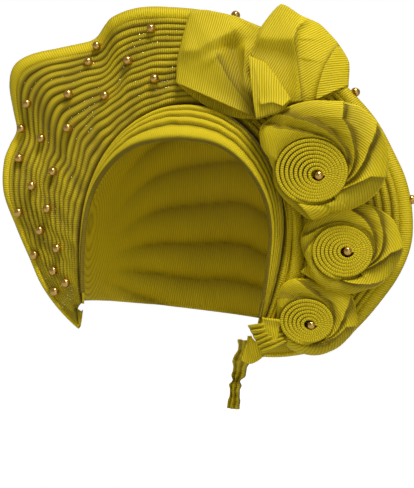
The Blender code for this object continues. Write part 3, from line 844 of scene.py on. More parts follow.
@dataclass
class SideDrape(Sheet):
    """The upright folds between the brow wrap and the rosettes."""

    reach: float = 0.090
    front_y: float = -0.0560
    fold_height: float = 0.0040
    table: tuple = (
        (53.0, 0.960, 1.020, 0.2), (45.0, 0.880, 0.980, 0.5), (31.0, 0.800, 0.930, 0.8),
        (14.0, 0.785, 0.910, 1.0), (-5.0, 0.790, 0.935, 1.1), (-22.0, 0.820, 0.970, 1.0),
        (-38.0, 0.900, 1.030, 0.6),
    )

    def grid(self) -> ClothGrid:
        """Draws the folds from the head outward."""
        u = np.linspace(0, 1, 181)
        angle = blend(self.table[0][0], self.table[-1][0], u)
        angles, *others = (column(self.table, k) for k in range(4))
        inner, outer, full = (read_table(angles, values, angle) for values in others)
        leaf = 0.42 + 0.20 * bump(angle, 2.0, 24.0)
        cuts = [0 * u, (1 - leaf) * 0.36 + 0.02 * ripple(u, 0.0, 31, (2, 3)), (1 - leaf) * 0.70, 1.0 + 0 * u]
        shares, rolls, heights = [], [], []
        for k in range(3):
            tall = (0.60, 0.70, 1.0)[k]
            for share in np.linspace(0, 1, 13)[: 12 if k < 2 else 13]:
                lean = (0.8, 0.8, 0.62)[k]
                roll = math.sin(math.pi * share**lean) ** 0.7 if 0 < share < 1 else 0.0
                shares.append(blend(cuts[k], cuts[k + 1], share))
                rolls.append(roll + 0 * u)
                heights.append(self.fold_height * tall * roll * (0.55 + 0.45 * full))
        v = np.array(shares)
        radius = self.reach * blend(inner, outer, v)
        y = self.front_y - np.array(heights) + 0.002 * v
        points = HEAD.polar(angle[None], radius, y)
        points = seat_like(points, "side_drape", TO_BACK)
        weave = weave_by_band(runs(points, 1)[:-1], runs(points, 0))
        # The crest value is painted light on each fold's top and painted shade in its grooves.
        return ClothGrid(points, weave, np.array(rolls) ** 0.42, self.wall, TO_BACK)


# Bow loops


@dataclass(frozen=True)
class Fold:
    """A fold line over a loop's front, in shares of the bow's width.

    Args:
        line: its points, each across and up.
        height: how far the cloth stands out along it, in metres; below 0 it is a valley.
        left: how wide it is on the left of its way, in metres.
        right: how wide it is on the right.
        shade_left: how dark the painted shade is on the left side next to the line.
        shade_right: how dark the painted shade is on the right side.
    """

    line: tuple
    height: float
    left: float
    right: float
    shade_left: float = 0.0
    shade_right: float = 0.0

    def relief(self, x: Array, z: Array, width: float) -> tuple[Array, Array]:
        """How far the cloth stands out at each point, and how dark it is.

        Args:
            x: place across.
            z: place up.
            width: the bow's width, which the line's points are shares of.

        Returns:
            The height and the painted shade beside the line.
        """
        ends = np.array(self.line) * width
        near = np.full(x.shape, np.inf)
        side, along = 0 * x, 0 * x
        for i, (start, end) in enumerate(zip(ends[:-1], ends[1:])):
            way = end - start
            t = np.clip(((x - start[0]) * way[0] + (z - start[1]) * way[1]) / way.dot(way), 0.0, 1.0)
            dx, dz = x - start[0] - t * way[0], z - start[1] - t * way[1]
            far = np.hypot(dx, dz)
            closer = far < near
            near = np.where(closer, far, near)
            side = np.where(closer, way[0] * dz - way[1] * dx, side)
            along = np.where(closer, (i + t) / (len(ends) - 1), along)
        on_left = side > 0
        wide = np.where(on_left, self.left, self.right)
        fade = ease(0.0, 0.25, along)
        height = self.height * fade * np.exp(-((near / wide) ** 1.5))
        # Painted shade beside the fold line.
        dark = np.where(on_left, self.shade_left, self.shade_right) * fade * np.exp(-near / wide)
        return height, dark


@dataclass
class BowLoop(Sheet):
    """One loop of the bow: a front panel, a turned rim and a back panel."""

    rim: tuple = ()
    base: tuple = ((0.0, 0.0), (0.0, 0.0))
    front: float = -0.58
    sag: float = 0.0
    fullness: float = 1.0
    taper: float = 0.0
    slant: float = 0.0
    folds: tuple[Fold, ...] = ()
    rib_angles: tuple = ((0.0, 80.0),)
    painted_panel_light: tuple = ((0.0, 1.0), (1.0, 1.0))
    width: float = 0.100
    depth: float = 0.0055
    lean: float = 0.24
    bulge: float = 0.0016
    rounding: float = 0.35
    across: int = 120
    along: int = 120

    def rim_line(self, u: Array, number: int) -> Array:
        """One column of the rim table, partly rounded between its rows."""
        keys = np.linspace(0, 1, len(self.rim))
        smooth = read_table(keys, column(self.rim, number), u)
        return blend(read_rim(self.rim, u, number), smooth, self.rounding)

    def grid(self) -> ClothGrid:
        """Draws the loop from its gather, over the rim and back down."""
        u = np.linspace(0, 1, self.across + 1)[None]
        v = np.concatenate([np.linspace(0.005, 0.47, self.along // 2), np.linspace(0.478, 0.522, 9),
                            np.linspace(0.53, 0.995, self.along // 5)])[:, None]
        across, up = self.rim_line(u, 0), self.rim_line(u, 1)
        (left, low), (right, high) = self.base
        half = 1.0 - np.abs(2.0 * v - 1.0)
        x = self.width * blend(blend(left, right, u), across, half)
        z = self.width * blend(blend(low, high, u), up, half)
        swell = 0.7 * np.sin(np.pi * np.minimum(half, 1.0)) + 0.3 * np.sqrt(np.maximum(1.0 - half, 0.0))
        depth = self.depth * self.fullness * swell * (1.0 - self.taper * u)
        y = self.width * self.front
        y = y + self.lean * (z - self.width * low) + self.slant * (x - self.width * left)
        face = v < 0.5
        out, dark = 0 * x, 0 * x
        for fold in self.folds:
            height, shade = fold.relief(x, z, self.width)
            out, dark = out + height, np.maximum(dark, shade)
        out = out * ease(1.0, 0.90, half)
        soft = self.bulge * np.sin(np.pi * half) * ripple(u * 0.9 + 0.12 * half, 0.0, len(self.name), (1, 2))
        round_rim = 0.0012 * np.sqrt(np.clip((1.0 - half) / 0.03, 0.0, 1.0))
        y = np.where(face, y - depth - round_rim - out - soft, y + depth * 0.7 + round_rim)
        sag = self.width * self.sag * np.sin(np.pi * half) * np.maximum(1.0 - 2.2 * u, 0.0)
        z = z - np.where(face, 0.0, sag)
        points = seat_like(stack(x, y, z), self.nodes[0], TO_BACK)
        # Painted light and shade of each panel by how it faces the light, with the fold lines' painted shade;
        # the back panel gets an even painted light level.
        painted_panel_light = np.interp(u, column(self.painted_panel_light, 0), column(self.painted_panel_light, 1))
        crest = np.where(face, painted_panel_light * (1.0 - np.clip(dark, 0.0, 0.97)), 0.9)
        # Painted shade near the gather, where the loop closes in.
        crest = crest * blend(0.45, 1.0, ease(0.0, 0.16, half))
        weave = self.planar(points, np.radians(self.panel_angle(u)) + 0 * v)
        return ClothGrid(points, weave, crest, self.wall, TO_BACK)

    def panel_angle(self, u: Array) -> Array:
        """Angle of the ribs on each panel, in degrees."""
        shares, angles = column(self.rib_angles, 0), column(self.rib_angles, 1)
        return np.array(angles)[np.clip(np.searchsorted(shares, u, side="right") - 1, 0, len(angles) - 1)]

    @staticmethod
    def planar(points: Array, turn: Array) -> Array:
        """Weave map seen from the front, with each face's ribs at its own angle."""
        x, z = points[..., 0], points[..., 2]
        corners = []
        for rows, columns in ((slice(0, -1), slice(0, -1)), (slice(0, -1), slice(1, None)),
                              (slice(1, None), slice(1, None)), (slice(1, None), slice(0, -1))):
            a = turn[:-1, :-1]
            px, pz = x[rows, columns], z[rows, columns]
            corners.append(np.stack([pz * np.cos(a) - px * np.sin(a), px * np.cos(a) + pz * np.sin(a)], -1))
        return np.stack(corners, axis=2)


# Rosettes


RIDGE_SHARES = (0.0, 0.05, 0.10, 0.20, 0.35, 0.60, 1.0)

# Share of the way from the coil to the collar's edge, and the collar's rise there in metres
DOME = (
    (0.0, -0.0042), (0.03, 0.0016), (0.10, 0.0030), (0.30, 0.0036), (0.60, 0.0028), (0.85, 0.0008),
    (1.0, -0.0032),
)

# How far the turned-under edge lies out from the hem and down from it, in metres
CURLS = ((0.0003, -0.0006), (0.0002, -0.0015), (-0.0014, -0.0026), (-0.0046, -0.0034))


@dataclass(frozen=True)
class Petal:
    """A ridge of the petal collar.

    Args:
        turns: its angle in degrees at each of RIDGE_SHARES of the way from the coil to the edge.
        height: how high it stands, as a share of the highest.
    """

    turns: tuple
    height: float = 1.0


@dataclass
class Rosette:
    """A rose of cloth: a petal collar, a rolled coil and a bead in its eye."""

    name: str
    place: tuple
    yaw: float
    pitch: float
    size: float
    turns: float
    coil: float
    flat: float
    eye: tuple
    shift: tuple
    outline: tuple
    ridges: tuple[Petal, ...]
    cut_petals: tuple
    cut_coil: tuple
    fan_reach: float = 0.150
    reach: float = 0.046
    coil_reach: float = 0.0232
    coil_height: float = 0.0066
    coil_eye: float = 0.0038
    coil_room: float = 1.03
    slope: float = 0.0080
    strip: float = 0.0024
    wall: float = 0.0011
    fold_height: float = 0.0034
    drop: float = 0.0020
    floor: float = -0.0045
    bead_radius: float = 0.0031
    bead_sides: int = 28

    def axes(self) -> tuple[Array, Array, Array]:
        """Right, up and facing directions of the rose."""
        yaw, pitch = math.radians(self.yaw), math.radians(self.pitch)
        level = math.cos(pitch)
        facing = np.array([math.sin(yaw) * level, -math.cos(yaw) * level, math.sin(pitch)])
        right = np.array([math.cos(yaw), math.sin(yaw), 0.0])
        return right, np.cross(facing, right), facing

    @property
    def middle(self) -> Array:
        """Middle of the rose, before it is seated."""
        return np.array(self.place) * self.fan_reach

    def edge(self, turn: Array) -> Array:
        """Radius of the petal collar's edge at an angle in degrees."""
        rows = self.outline
        ring = ((rows[-1][0] - 360.0, rows[-1][1]),) + rows + ((rows[0][0] + 360.0, rows[0][1]),)
        angles, shares = column(ring, 0), column(ring, 1)
        straight, smooth = np.interp(turn, angles, shares), read_table(angles, shares, turn)
        return self.reach * self.size * blend(straight, smooth, 0.3)

    def swirl(self, turn: Array, inside: Array, radius: Array) -> tuple[Array, Array, Array]:
        """Flat facets between the ridges that swirl out of the coil.

        Each facet rises clockwise to its ridge, and the cloth then drops behind the ridge.

        Args:
            turn: angle in degrees.
            inside: 0 at the coil and 1 at the edge.
            radius: distance from the middle.

        Returns:
            Height, crest value and angle from the facet's ridge at the edge, for each point. The crest
            value is painted light that rises toward each ridge, with painted shade in the groove behind it.
        """
        lines = np.array([np.interp(inside[:, 0], RIDGE_SHARES, p.turns) for p in self.ridges])
        middle = radius.mean(axis=1)
        tilt = middle * np.gradient(np.radians(lines), axis=1) / np.maximum(np.gradient(middle), 1e-5)
        ahead = (turn[None] - lines[:, :, None]) % 360.0
        strong = np.array([p.height for p in self.ridges])
        edges = np.array([p.turns[-1] for p in self.ridges])
        following, last = ahead.argmin(axis=0), ahead.argmax(axis=0)
        front, behind = ahead.min(axis=0), 360.0 - ahead.max(axis=0)
        share = behind / (front + behind)
        lean = np.take_along_axis(tilt.T, last, axis=1)
        away = np.radians(behind) * radius / np.hypot(1.0, lean)
        drop = self.drop * blend(0.5, 1.6, inside)
        rise = blend(-0.45 * strong[last], strong[following], share**1.4)
        height = blend(strong[last], rise, ease(0.0, drop, away))
        # Painted shade in the groove behind each ridge.
        groove = np.exp(-(((away - 0.5 * drop) / (0.8 * drop)) ** 2))
        groove = strong[last] * groove * blend(1.1, 0.55, inside)
        crest = 0.52 + 0.48 * share**1.3 - 0.75 * np.clip(groove, 0.0, 1.0)
        around = (turn - edges[following] + 180.0) % 360.0 - 180.0
        return height, crest, np.radians(around)

    def collar(self) -> ClothGrid:
        """Draws the petal collar, with ridges that swirl out of the coil."""
        right, up, facing = self.axes()
        turn = np.linspace(-180.0, 180.0, 361)[None, :-1]
        t = np.concatenate([[-0.9, -0.5, -0.2, -0.05], np.linspace(0.0, 0.36, 34),
                            np.linspace(0.38, 1.0, 28)])[:, None]
        a, inside = np.radians(turn), np.clip(t, 0, 1)
        outer = self.edge(turn)
        bowl = self.coil_reach * self.coil
        wound = (turn / 360.0 - self.turns) % 1.0
        bowl = bowl - (bowl - self.coil_eye) / self.turns * (1.0 - wound) * ease(1.0, 0.94, wound)
        bowl = bowl * self.coil_room / np.hypot(np.cos(a), np.sin(a) / self.flat)
        shift = np.array(self.shift) * self.coil_reach
        room = outer - (shift[0] * np.cos(a) + shift[1] * np.sin(a)) - bowl
        full = np.clip(room / (self.slope * self.size), 0.0, 1.0)
        bowl = bowl + np.minimum(room - self.wall, 0.0)
        under = blend(0.7 * self.bead_radius, bowl, 1 + np.minimum(t, 0))
        radius = np.where(t < 0, under, blend(bowl, outer, inside))
        dome = read_table(column(DOME, 0), column(DOME, 1), t)
        fold, crest, around = self.swirl(turn, inside, radius)
        strong = self.fold_height * ease(0.0, 0.06, inside) * blend(0.55, 1.0, ease(0.0, 0.3, inside))
        hem = 0.0006 * bump(inside, 0.965, 0.03)
        rise = np.where(t < 0, self.floor, blend(self.floor, dome + strong * fold + hem, full)) * self.size
        # Painted shade under and next to the coil.
        crest = crest * blend(0.15, 1.0, ease(-0.02, 0.03, t))
        # Painted highlight along the rolled hem.
        crest = np.maximum(crest, 0.95 * ease(0.955, 0.985, inside) + 0 * crest)
        radius = np.vstack([radius] + [outer + out for out, _ in CURLS])
        rise = np.vstack([rise] + [rise[-1:] + down for _, down in CURLS])
        around = np.vstack([around] + [around[-1:]] * len(CURLS))
        # Painted light on the hem and on the edge turned under it.
        painted_hem_light, painted_curl_light = blend(crest[-1:], 1.0, 0.5), blend(crest[-1:], 1.0, 0.4)
        crest = np.vstack([crest[:-1], painted_hem_light] + [painted_curl_light] * len(CURLS))
        keep = np.concatenate([1 - inside, np.zeros((len(CURLS), 1))])
        x, z = radius * np.cos(a) + shift[0] * keep, radius * np.sin(a) + shift[1] * keep
        points = self.middle + x[..., None] * right + z[..., None] * up + rise[..., None] * facing
        points = seat_like(points, f"{self.name}_petals", facing)
        spread = self.reach * self.size
        weave = weave_of(radius + 0.3 * spread * around, a * spread, closed=True)
        return ClothGrid(points, weave, crest, self.wall, -facing, True)

    def build(
        self, cloth: bpy.types.Material, coil_cloth: bpy.types.Material, metal: bpy.types.Material,
        strip_tree: bpy.types.NodeTree,
    ) -> None:
        """Builds the collar, the coil and the bead.

        Args:
            cloth: material of the petals.
            coil_cloth: material of the coil.
            metal: material of the bead.
            strip_tree: node tree that rolls the coil.
        """
        petals = self.collar().make(f"{self.name}_collar", cloth)
        Piece(petals.name, (f"{self.name}_petals",)).place(petals)
        coil = self.rolled_coil(coil_cloth, strip_tree)
        Piece(coil.name, (f"{self.name}_coil",)).place(coil)
        low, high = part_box(f"{self.name}_bead")
        middle = [(low + high) / 2]
        bead = round_beads(f"{self.name}_eye_bead", middle, self.bead_radius, metal, self.bead_sides)
        Piece(bead.name, (f"{self.name}_bead",), Slot.METAL).place(bead)

    def rolled_coil(self, cloth: bpy.types.Material, strip_tree: bpy.types.NodeTree) -> bpy.types.Object:
        """Rolls the coil with the strip tree and lays it in the collar."""
        right, up, facing = self.axes()
        reach = self.coil_reach * self.coil
        eye, shift = (np.array(pair) * self.coil_reach for pair in (self.eye, self.shift))
        coil = from_tree(f"{self.name}_rolled_strip", [], strip_tree, {
            "Turns": self.turns, "Eye": self.coil_eye, "Reach": reach, "Flatness": self.flat,
            "Drift": (*(eye - shift), 0.0), "Strip Width": self.strip,
            "Strip Height": self.coil_height, "Dish": 0.0014 * self.size, "Cloth": cloth,
        })
        turn = Matrix((right, up, facing)).transposed().to_4x4()
        middle = self.middle + facing * 2.0 * self.coil_height * self.size
        middle = middle + right * shift[0] + up * shift[1]
        coil.data.transform(Matrix.Translation(Vector(middle)) @ turn)
        points = np.empty(len(coil.data.vertices) * 3)
        coil.data.vertices.foreach_get("co", points)
        seated = seat_like(points.reshape(-1, 3), f"{self.name}_coil", facing)
        coil.data.vertices.foreach_set("co", (seated - 0.5 * self.coil_height * facing).ravel())
        coil.data.update()
        return coil


def start_tree(name: str, *inputs: tuple) -> tuple[Board, bpy.types.bpy_prop_collection]:
    """Starts a geometry tree.

    Args:
        name: the tree's name.
        *inputs: the name, the kind and the first value of each input.

    Returns:
        A board for the tree, and the sockets of its inputs.
    """
    tree = bpy.data.node_groups.new(name, "GeometryNodeTree")
    tree.is_modifier = True
    board = Board(tree)
    for row in (("Geometry", "Geometry"), *inputs):
        board.socket(*row)
    board.socket("Geometry", "Geometry", out=True)
    return board, tree.nodes.new("NodeGroupInput").outputs


def close_tree(
    board: Board, shape: bpy.types.NodeSocket, finish: bpy.types.NodeSocket,
) -> bpy.types.NodeTree:
    """Ends a geometry tree with real, smooth faces that carry their material, and gives the tree."""
    shape = board.shape("RealizeInstances", Geometry=shape)
    shape = board.shape("SetShadeSmooth", Geometry=shape)
    board.close(Geometry=board.shape("SetMaterial", Geometry=shape, Material=finish))
    return board.tree


def rolled_strip_tree() -> bpy.types.NodeTree:
    """Geometry tree that rolls a rounded strip into a flat, slightly dished spiral."""
    board, given = start_tree(
        "rolled_strip", ("Turns", "Float", 7.0), ("Eye", "Float", 0.004), ("Reach", "Float", 0.023),
        ("Flatness", "Float", 0.9), ("Drift", "Vector"), ("Strip Width", "Float", 0.0022),
        ("Strip Height", "Float", 0.006), ("Dish", "Float", 0.002), ("Cloth", "Material"),
    )
    wide, tall = given["Strip Width"], given["Strip Height"]
    spiral = board.shape(
        "CurveSpiral", Resolution=44, Rotations=given["Turns"], Start_Radius=given["Eye"],
        End_Radius=given["Reach"], Height=0.0, Reverse=True,
    )
    place = board.shape("InputPosition")
    radius = board.node("ShaderNodeVectorMath", {"operation": "LENGTH"}, i0=place).outputs["Value"]
    inner = board.maths("SUBTRACT", 1.0, board.maths("DIVIDE", radius, given["Reach"]))
    squashed = board.vectors("MULTIPLY", i0=place, i1=board.triple(X=1.0, Y=given["Flatness"], Z=1.0))
    move = board.vectors("SCALE", i0=given["Drift"], Scale=inner)
    spline = board.node("GeometryNodeSplineParameter").outputs
    tuck = board.remap(spline["Factor"], 0.955, 0.995, 0.0, tall)
    sink = board.maths("ADD", board.maths("MULTIPLY", inner, given["Dish"]), tuck)
    move = board.vectors("ADD", i0=move, i1=board.triple(Z=board.maths("MULTIPLY", sink, -1.0)))
    laid = board.shape("SetPosition", Geometry=spiral, Position=squashed, Offset=move)
    laid = board.shape("SetCurveNormal", {"mode": "Z_UP"}, Curve=laid)
    laid = board.store(laid, "run", spline["Length"])
    profile = board.shape("CurvePrimitiveQuadrilateral", {"mode": "RECTANGLE"}, Width=wide, Height=tall)
    rounding = board.maths("MULTIPLY", wide, 0.36)
    profile = board.shape("FilletCurve", {"mode": "POLY"}, Curve=profile, Count=4, Radius=rounding)
    level = board.node("ShaderNodeSeparateXYZ", i0=board.shape("InputPosition")).outputs[1]
    # Painted light on the strip's flat faces and painted shade down its rounded sides, between the turns.
    low, high = (board.maths("MULTIPLY", tall, share) for share in (0.36, 0.49))
    crest = board.remap(board.maths("ABSOLUTE", level), low, high, 0.0, 0.85)
    profile = board.store(profile, "crest", crest)
    profile = board.store(profile, "girth", spline["Length"])
    strip = board.shape("CurveToMesh", Curve=laid, Profile_Curve=profile, Fill_Caps=True)
    kind = {"data_type": "FLOAT"}
    run, girth = (board.shape("InputNamedAttribute", kind, Name=name) for name in ("run", "girth"))
    strip = board.store(strip, "weave", board.triple(X=run, Y=girth), "FLOAT2", "CORNER")
    return close_tree(board, strip, given["Cloth"])


def bead_tree() -> bpy.types.NodeTree:
    """Geometry tree that puts a round bead on each seed point."""
    board, given = start_tree(
        "round_beads", ("Radius", "Float", 0.003), ("Sides", "Int", 20), ("Metal", "Material"),
    )
    rings = board.maths("MULTIPLY", given["Sides"], 0.5)
    ball = board.shape("MeshUVSphere", Segments=given["Sides"], Rings=rings, Radius=given["Radius"])
    spots = board.shape("MeshToPoints", Mesh=given["Geometry"])
    beads = board.shape("InstanceOnPoints", Points=spots, Instance=ball)
    return close_tree(board, beads, given["Metal"])


def stone_tree() -> bpy.types.NodeTree:
    """Geometry tree that scatters tiny stones on a share of the seed points."""
    board, given = start_tree(
        "tiny_stones", ("Radius", "Float", 0.0006), ("Share", "Float", 0.5), ("Seed", "Int", 7),
        ("Stone", "Material"),
    )
    spots = board.shape("MeshToPoints", Mesh=given["Geometry"])
    kind = {"data_type": "FLOAT"}
    dice = board.node("FunctionNodeRandomValue", kind, Seed=given["Seed"]).outputs[1]
    drop = board.maths("LESS_THAN", given["Share"], dice)
    spots = board.shape("DeleteGeometry", {"domain": "POINT"}, Geometry=spots, Selection=drop)
    ball = board.shape("MeshIcoSphere", Radius=given["Radius"], Subdivisions=1)
    second = board.maths("ADD", given["Seed"], 1.0)
    size = board.node("FunctionNodeRandomValue", kind, i2=0.7, i3=1.25, Seed=second).outputs[1]
    stones = board.shape("InstanceOnPoints", Points=spots, Instance=ball, Scale=size)
    return close_tree(board, stones, given["Stone"])


def from_tree(name: str, seeds: list, tree: bpy.types.NodeTree, values: dict) -> bpy.types.Object:
    """Runs a geometry tree on seed points and keeps the result as a plain mesh.

    Args:
        name: the piece's name.
        seeds: points that the tree starts from.
        tree: the geometry tree.
        values: a value for each named input that isn't left as it is.

    Returns:
        The piece.
    """
    mesh = bpy.data.meshes.new(name)
    mesh.from_pydata([tuple(p) for p in seeds], [], [])
    piece = add_object(name, mesh)
    modifier = piece.modifiers.new("tree", "NODES")
    modifier.node_group = tree
    for item in tree.interface.items_tree:
        if item.in_out == "INPUT" and item.name in values:
            modifier[item.identifier] = values[item.name]
    settle(piece)
    return piece


def round_beads(
    name: str, centres: list, radius: float, metal: bpy.types.Material, sides: int,
) -> bpy.types.Object:
    """Round beads of one size at the given centres, as one piece."""
    tree = bpy.data.node_groups.get("round_beads") or bead_tree()
    return from_tree(name, centres, tree, {"Radius": radius, "Sides": sides, "Metal": metal})


@dataclass
class FanBeads(Piece):
    """The round beads sewn on the fan and along its edge."""

    radius: float = 0.0031
    sides: int = 24
    sunk: float = 0.0006

    def build(self, metal: bpy.types.Material, fan: bpy.types.Object) -> bpy.types.Object:
        """Puts a bead at each bead node, with its back resting on the fan.

        Args:
            metal: material of the beads.
            fan: the fan that they are sewn to.

        Returns:
            The piece.
        """
        centres = []
        for node in self.nodes:
            low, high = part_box(node)
            centre = np.array(low + high) / 2
            found, place, _, _ = fan.ray_cast(Vector(centre - 0.05 * TO_BACK), Vector(TO_BACK))
            if found:
                centre = np.array(place) - (self.radius - self.sunk) * TO_BACK
            centres.append(centre)
        beads = round_beads(self.name, centres, self.radius, metal, self.sides)
        self.place(beads)
        return beads


@dataclass
class GrooveStones(Piece):
    """Tiny stones between the pleats of the fan's beaded side."""

    radius: float = 0.0007
    share: float = 0.5
    seed: int = 7
    first: float = 99.0
    last: float = 218.0
    spacing: float = 1.6

    def build(self, fan: PleatedFan, stone: bpy.types.Material) -> bpy.types.Object:
        """Lays seed points along the fan's grooves and scatters stones on them.

        Args:
            fan: the fan that the stones lie on.
            stone: their material.

        Returns:
            The piece.
        """
        angle = np.arange(self.first, self.last, self.spacing)
        lines = fan.grooves(angle)[3:]
        dice = np.random.default_rng(self.seed)
        shift = dice.uniform(-0.7, 0.7, lines.shape)
        spots = []
        for line, jitter in zip(lines, shift):
            at = angle + jitter
            radius = line + 0.0003
            spots += list(HEAD.polar(at, radius, fan.plane_y(at, radius) - 0.0016))
        stones = from_tree(self.name, spots, stone_tree(), {
            "Radius": self.radius, "Share": self.share, "Seed": self.seed, "Stone": stone,
        })
        self.place(stones)
        return stones


# Small pieces at the ear


@dataclass
class EarGather(Sheet):
    """The small slanted bundle of pleats below the drape."""

    drape_reach: float = 0.090
    start: tuple = (0.590, -0.667, -1.661)
    length: float = 0.019
    width: float = 0.022
    pleats: int = 6
    fold: float = 0.0022

    def grid(self) -> ClothGrid:
        """Draws the pleats from their open ends to where they tuck under the rosette."""
        along, across = unit(np.array([0.90, 0.05, 0.26])), unit(np.array([0.56, 0.0, -0.83]))
        u = np.linspace(0, 1, 41)[None]
        v = np.linspace(0, 1, self.pleats * 12 + 1)[:, None]
        phase = v * self.pleats + 0.10 * np.sin(5.0 * u + 9.0 * v)
        share = np.clip(phase - np.floor(np.clip(phase, 0, self.pleats - 1e-6)), 0, 1)
        roll = np.clip(np.sin(np.pi * share**0.7), 0, 1) ** 0.7 + 0 * u
        ridge = self.fold * roll * blend(1.0, 0.6, u)
        spread = blend(1.0, 0.72, u) * self.width
        swell = 0.003 * np.sin(np.pi * u)
        points = np.array(self.start) * self.drape_reach + (self.length * u + 0 * v)[..., None] * along
        points = points + (spread * v)[..., None] * across - (ridge + swell)[..., None] * TO_BACK
        points = seat_like(points, "ear_gather", TO_BACK)
        weave = weave_of(runs(points, 0), runs(points, 1))
        # Painted shade in the grooves between the pleats, darker toward where they tuck under the rosette.
        return ClothGrid(points, weave, 0.05 + 0.9 * roll * blend(1.0, 0.75, u), self.wall, TO_BACK)


@dataclass
class SideFlap(Sheet):
    """The small pointed panel under the ear gather."""

    drape_reach: float = 0.090
    corner: tuple = (0.528, -0.580, -1.940)
    side: float = 0.018

    def grid(self) -> ClothGrid:
        """Draws the panel with one soft dent."""
        u, v = np.linspace(0, 1, 31)[None], np.linspace(0, 1, 31)[:, None]
        corner = np.array(self.corner) * self.drape_reach
        narrow = 1.0 - 0.92 * v
        x = corner[0] + self.side * (0.90 * u * narrow + 0.17 * v)
        z = corner[2] + self.side * ((0.34 * u - 0.22 * np.sin(np.pi * u)) * narrow + 0.93 * v)
        y = corner[1] + 0.002 * v - 0.002 * np.sin(np.pi * u) + 0.0007 * np.sin(3.0 * np.pi * u * (0.4 + v))
        points = seat_like(stack(x, y, z), "side_flap", TO_BACK)
        weave = weave_of(points[..., 0] + 0.4 * points[..., 2], points[..., 2])
        # Painted shade that darkens the panel toward its left edge.
        return ClothGrid(points, weave, blend(0.85, 1.0, u) + 0 * v, self.wall, TO_BACK)


@dataclass
class TuckedLeaf(Sheet):
    """A small leaf of cloth that shows from under a rosette."""

    corners: tuple = ()
    depth: float = -0.052
    bulge: float = 0.0016
    shade: float = 0.5

    def grid(self) -> ClothGrid:
        """Draws the leaf between its corners: lower left, lower right, upper right and upper left."""
        u, v = np.linspace(0, 1, 25)[None], np.linspace(0, 1, 25)[:, None]
        low_left, low_right, high_right, high_left = np.array(self.corners)
        low = blend(low_left, low_right, u[..., None])
        place = blend(low, blend(high_left, high_right, u[..., None]), v[..., None])
        swell = np.sin(np.pi * u) * np.sin(np.pi * v)
        roll = 0.0008 * bump(v, 0.92, 0.06)
        points = stack(place[..., 0], self.depth - self.bulge * swell - roll, place[..., 1])
        # Painted shade: a dark band across the upper part of the leaf, under the rosette.
        dark = self.shade * bump(v, 0.74, 0.16) * ease(0.0, 0.25, u)
        weave = weave_of(points[..., 0] + 0.3 * points[..., 2], points[..., 2])
        return ClothGrid(points, weave, 1.0 - dark + 0 * u, self.wall, TO_BACK)


@dataclass
class TieTail(Sheet):
    """The scrunched end of the tie that hangs behind the ear."""

    drape_reach: float = 0.090
    top: tuple = (0.540, -0.244, -1.800)
    length: float = 0.049
    width: float = 0.0105
    swing: float = 0.030
    fold: float = 0.0020

    def grid(self) -> ClothGrid:
        """Draws the tail from its knot to its end."""
        v, u = np.linspace(0, 1, 31)[None], np.linspace(0, 1, 91)[:, None]
        sway = self.length * (0.02 * u - 0.20 * np.sin(np.pi * 0.62 * u))
        scrunch = self.fold * np.cos(2 * np.pi * 3.0 * u) + 0.0007 * np.cos(2 * np.pi * 9.0 * u + 3 * v)
        pinch = 1.0 - 0.55 * bump(u, 0.60, 0.05) - 0.28 * ease(0.55, 0.75, u)
        width = self.width * (1.0 + 0.14 * np.cos(2 * np.pi * 3.0 * u + 1.0)) * pinch
        pleat = 0.0012 * np.cos(2 * np.pi * 2.5 * v)
        back = self.swing * np.sin(np.pi * 0.5 * np.minimum(u * 1.6, 1.0))
        bow = 0.003 * np.sin(np.pi * v)
        offset = stack(sway + width * (v - 0.5), back - scrunch - bow - pleat, -self.length * u)
        points = seat_like(np.array(self.top) * self.drape_reach + offset, "tie_tail", TO_BACK)
        # Painted light on the pleats that stand forward and painted shade between them, darker at the pinch.
        crest = np.clip(0.6 + 0.4 * np.cos(2 * np.pi * 2.5 * v), 0, 1) * (1 - 0.5 * bump(u, 0.60, 0.05))
        weave = weave_of(runs(points, 0), runs(points, 1))
        return ClothGrid(points, weave, crest, self.wall, TO_BACK)


# Studio


# Name, place, the point it faces, side in metres and power in watts
LIGHTS = (
    ("key", (0.16, -0.66, 1.30), (0.0, -0.04, -0.06), 0.45, 20.0),
    ("fill", (0.9, -1.3, 0.25), (0.02, -0.04, -0.09), 1.2, 3.5),
    ("rear", (0.2, 1.2, 0.9), (0.0, 0.0, -0.08), 0.9, 3.0),
)


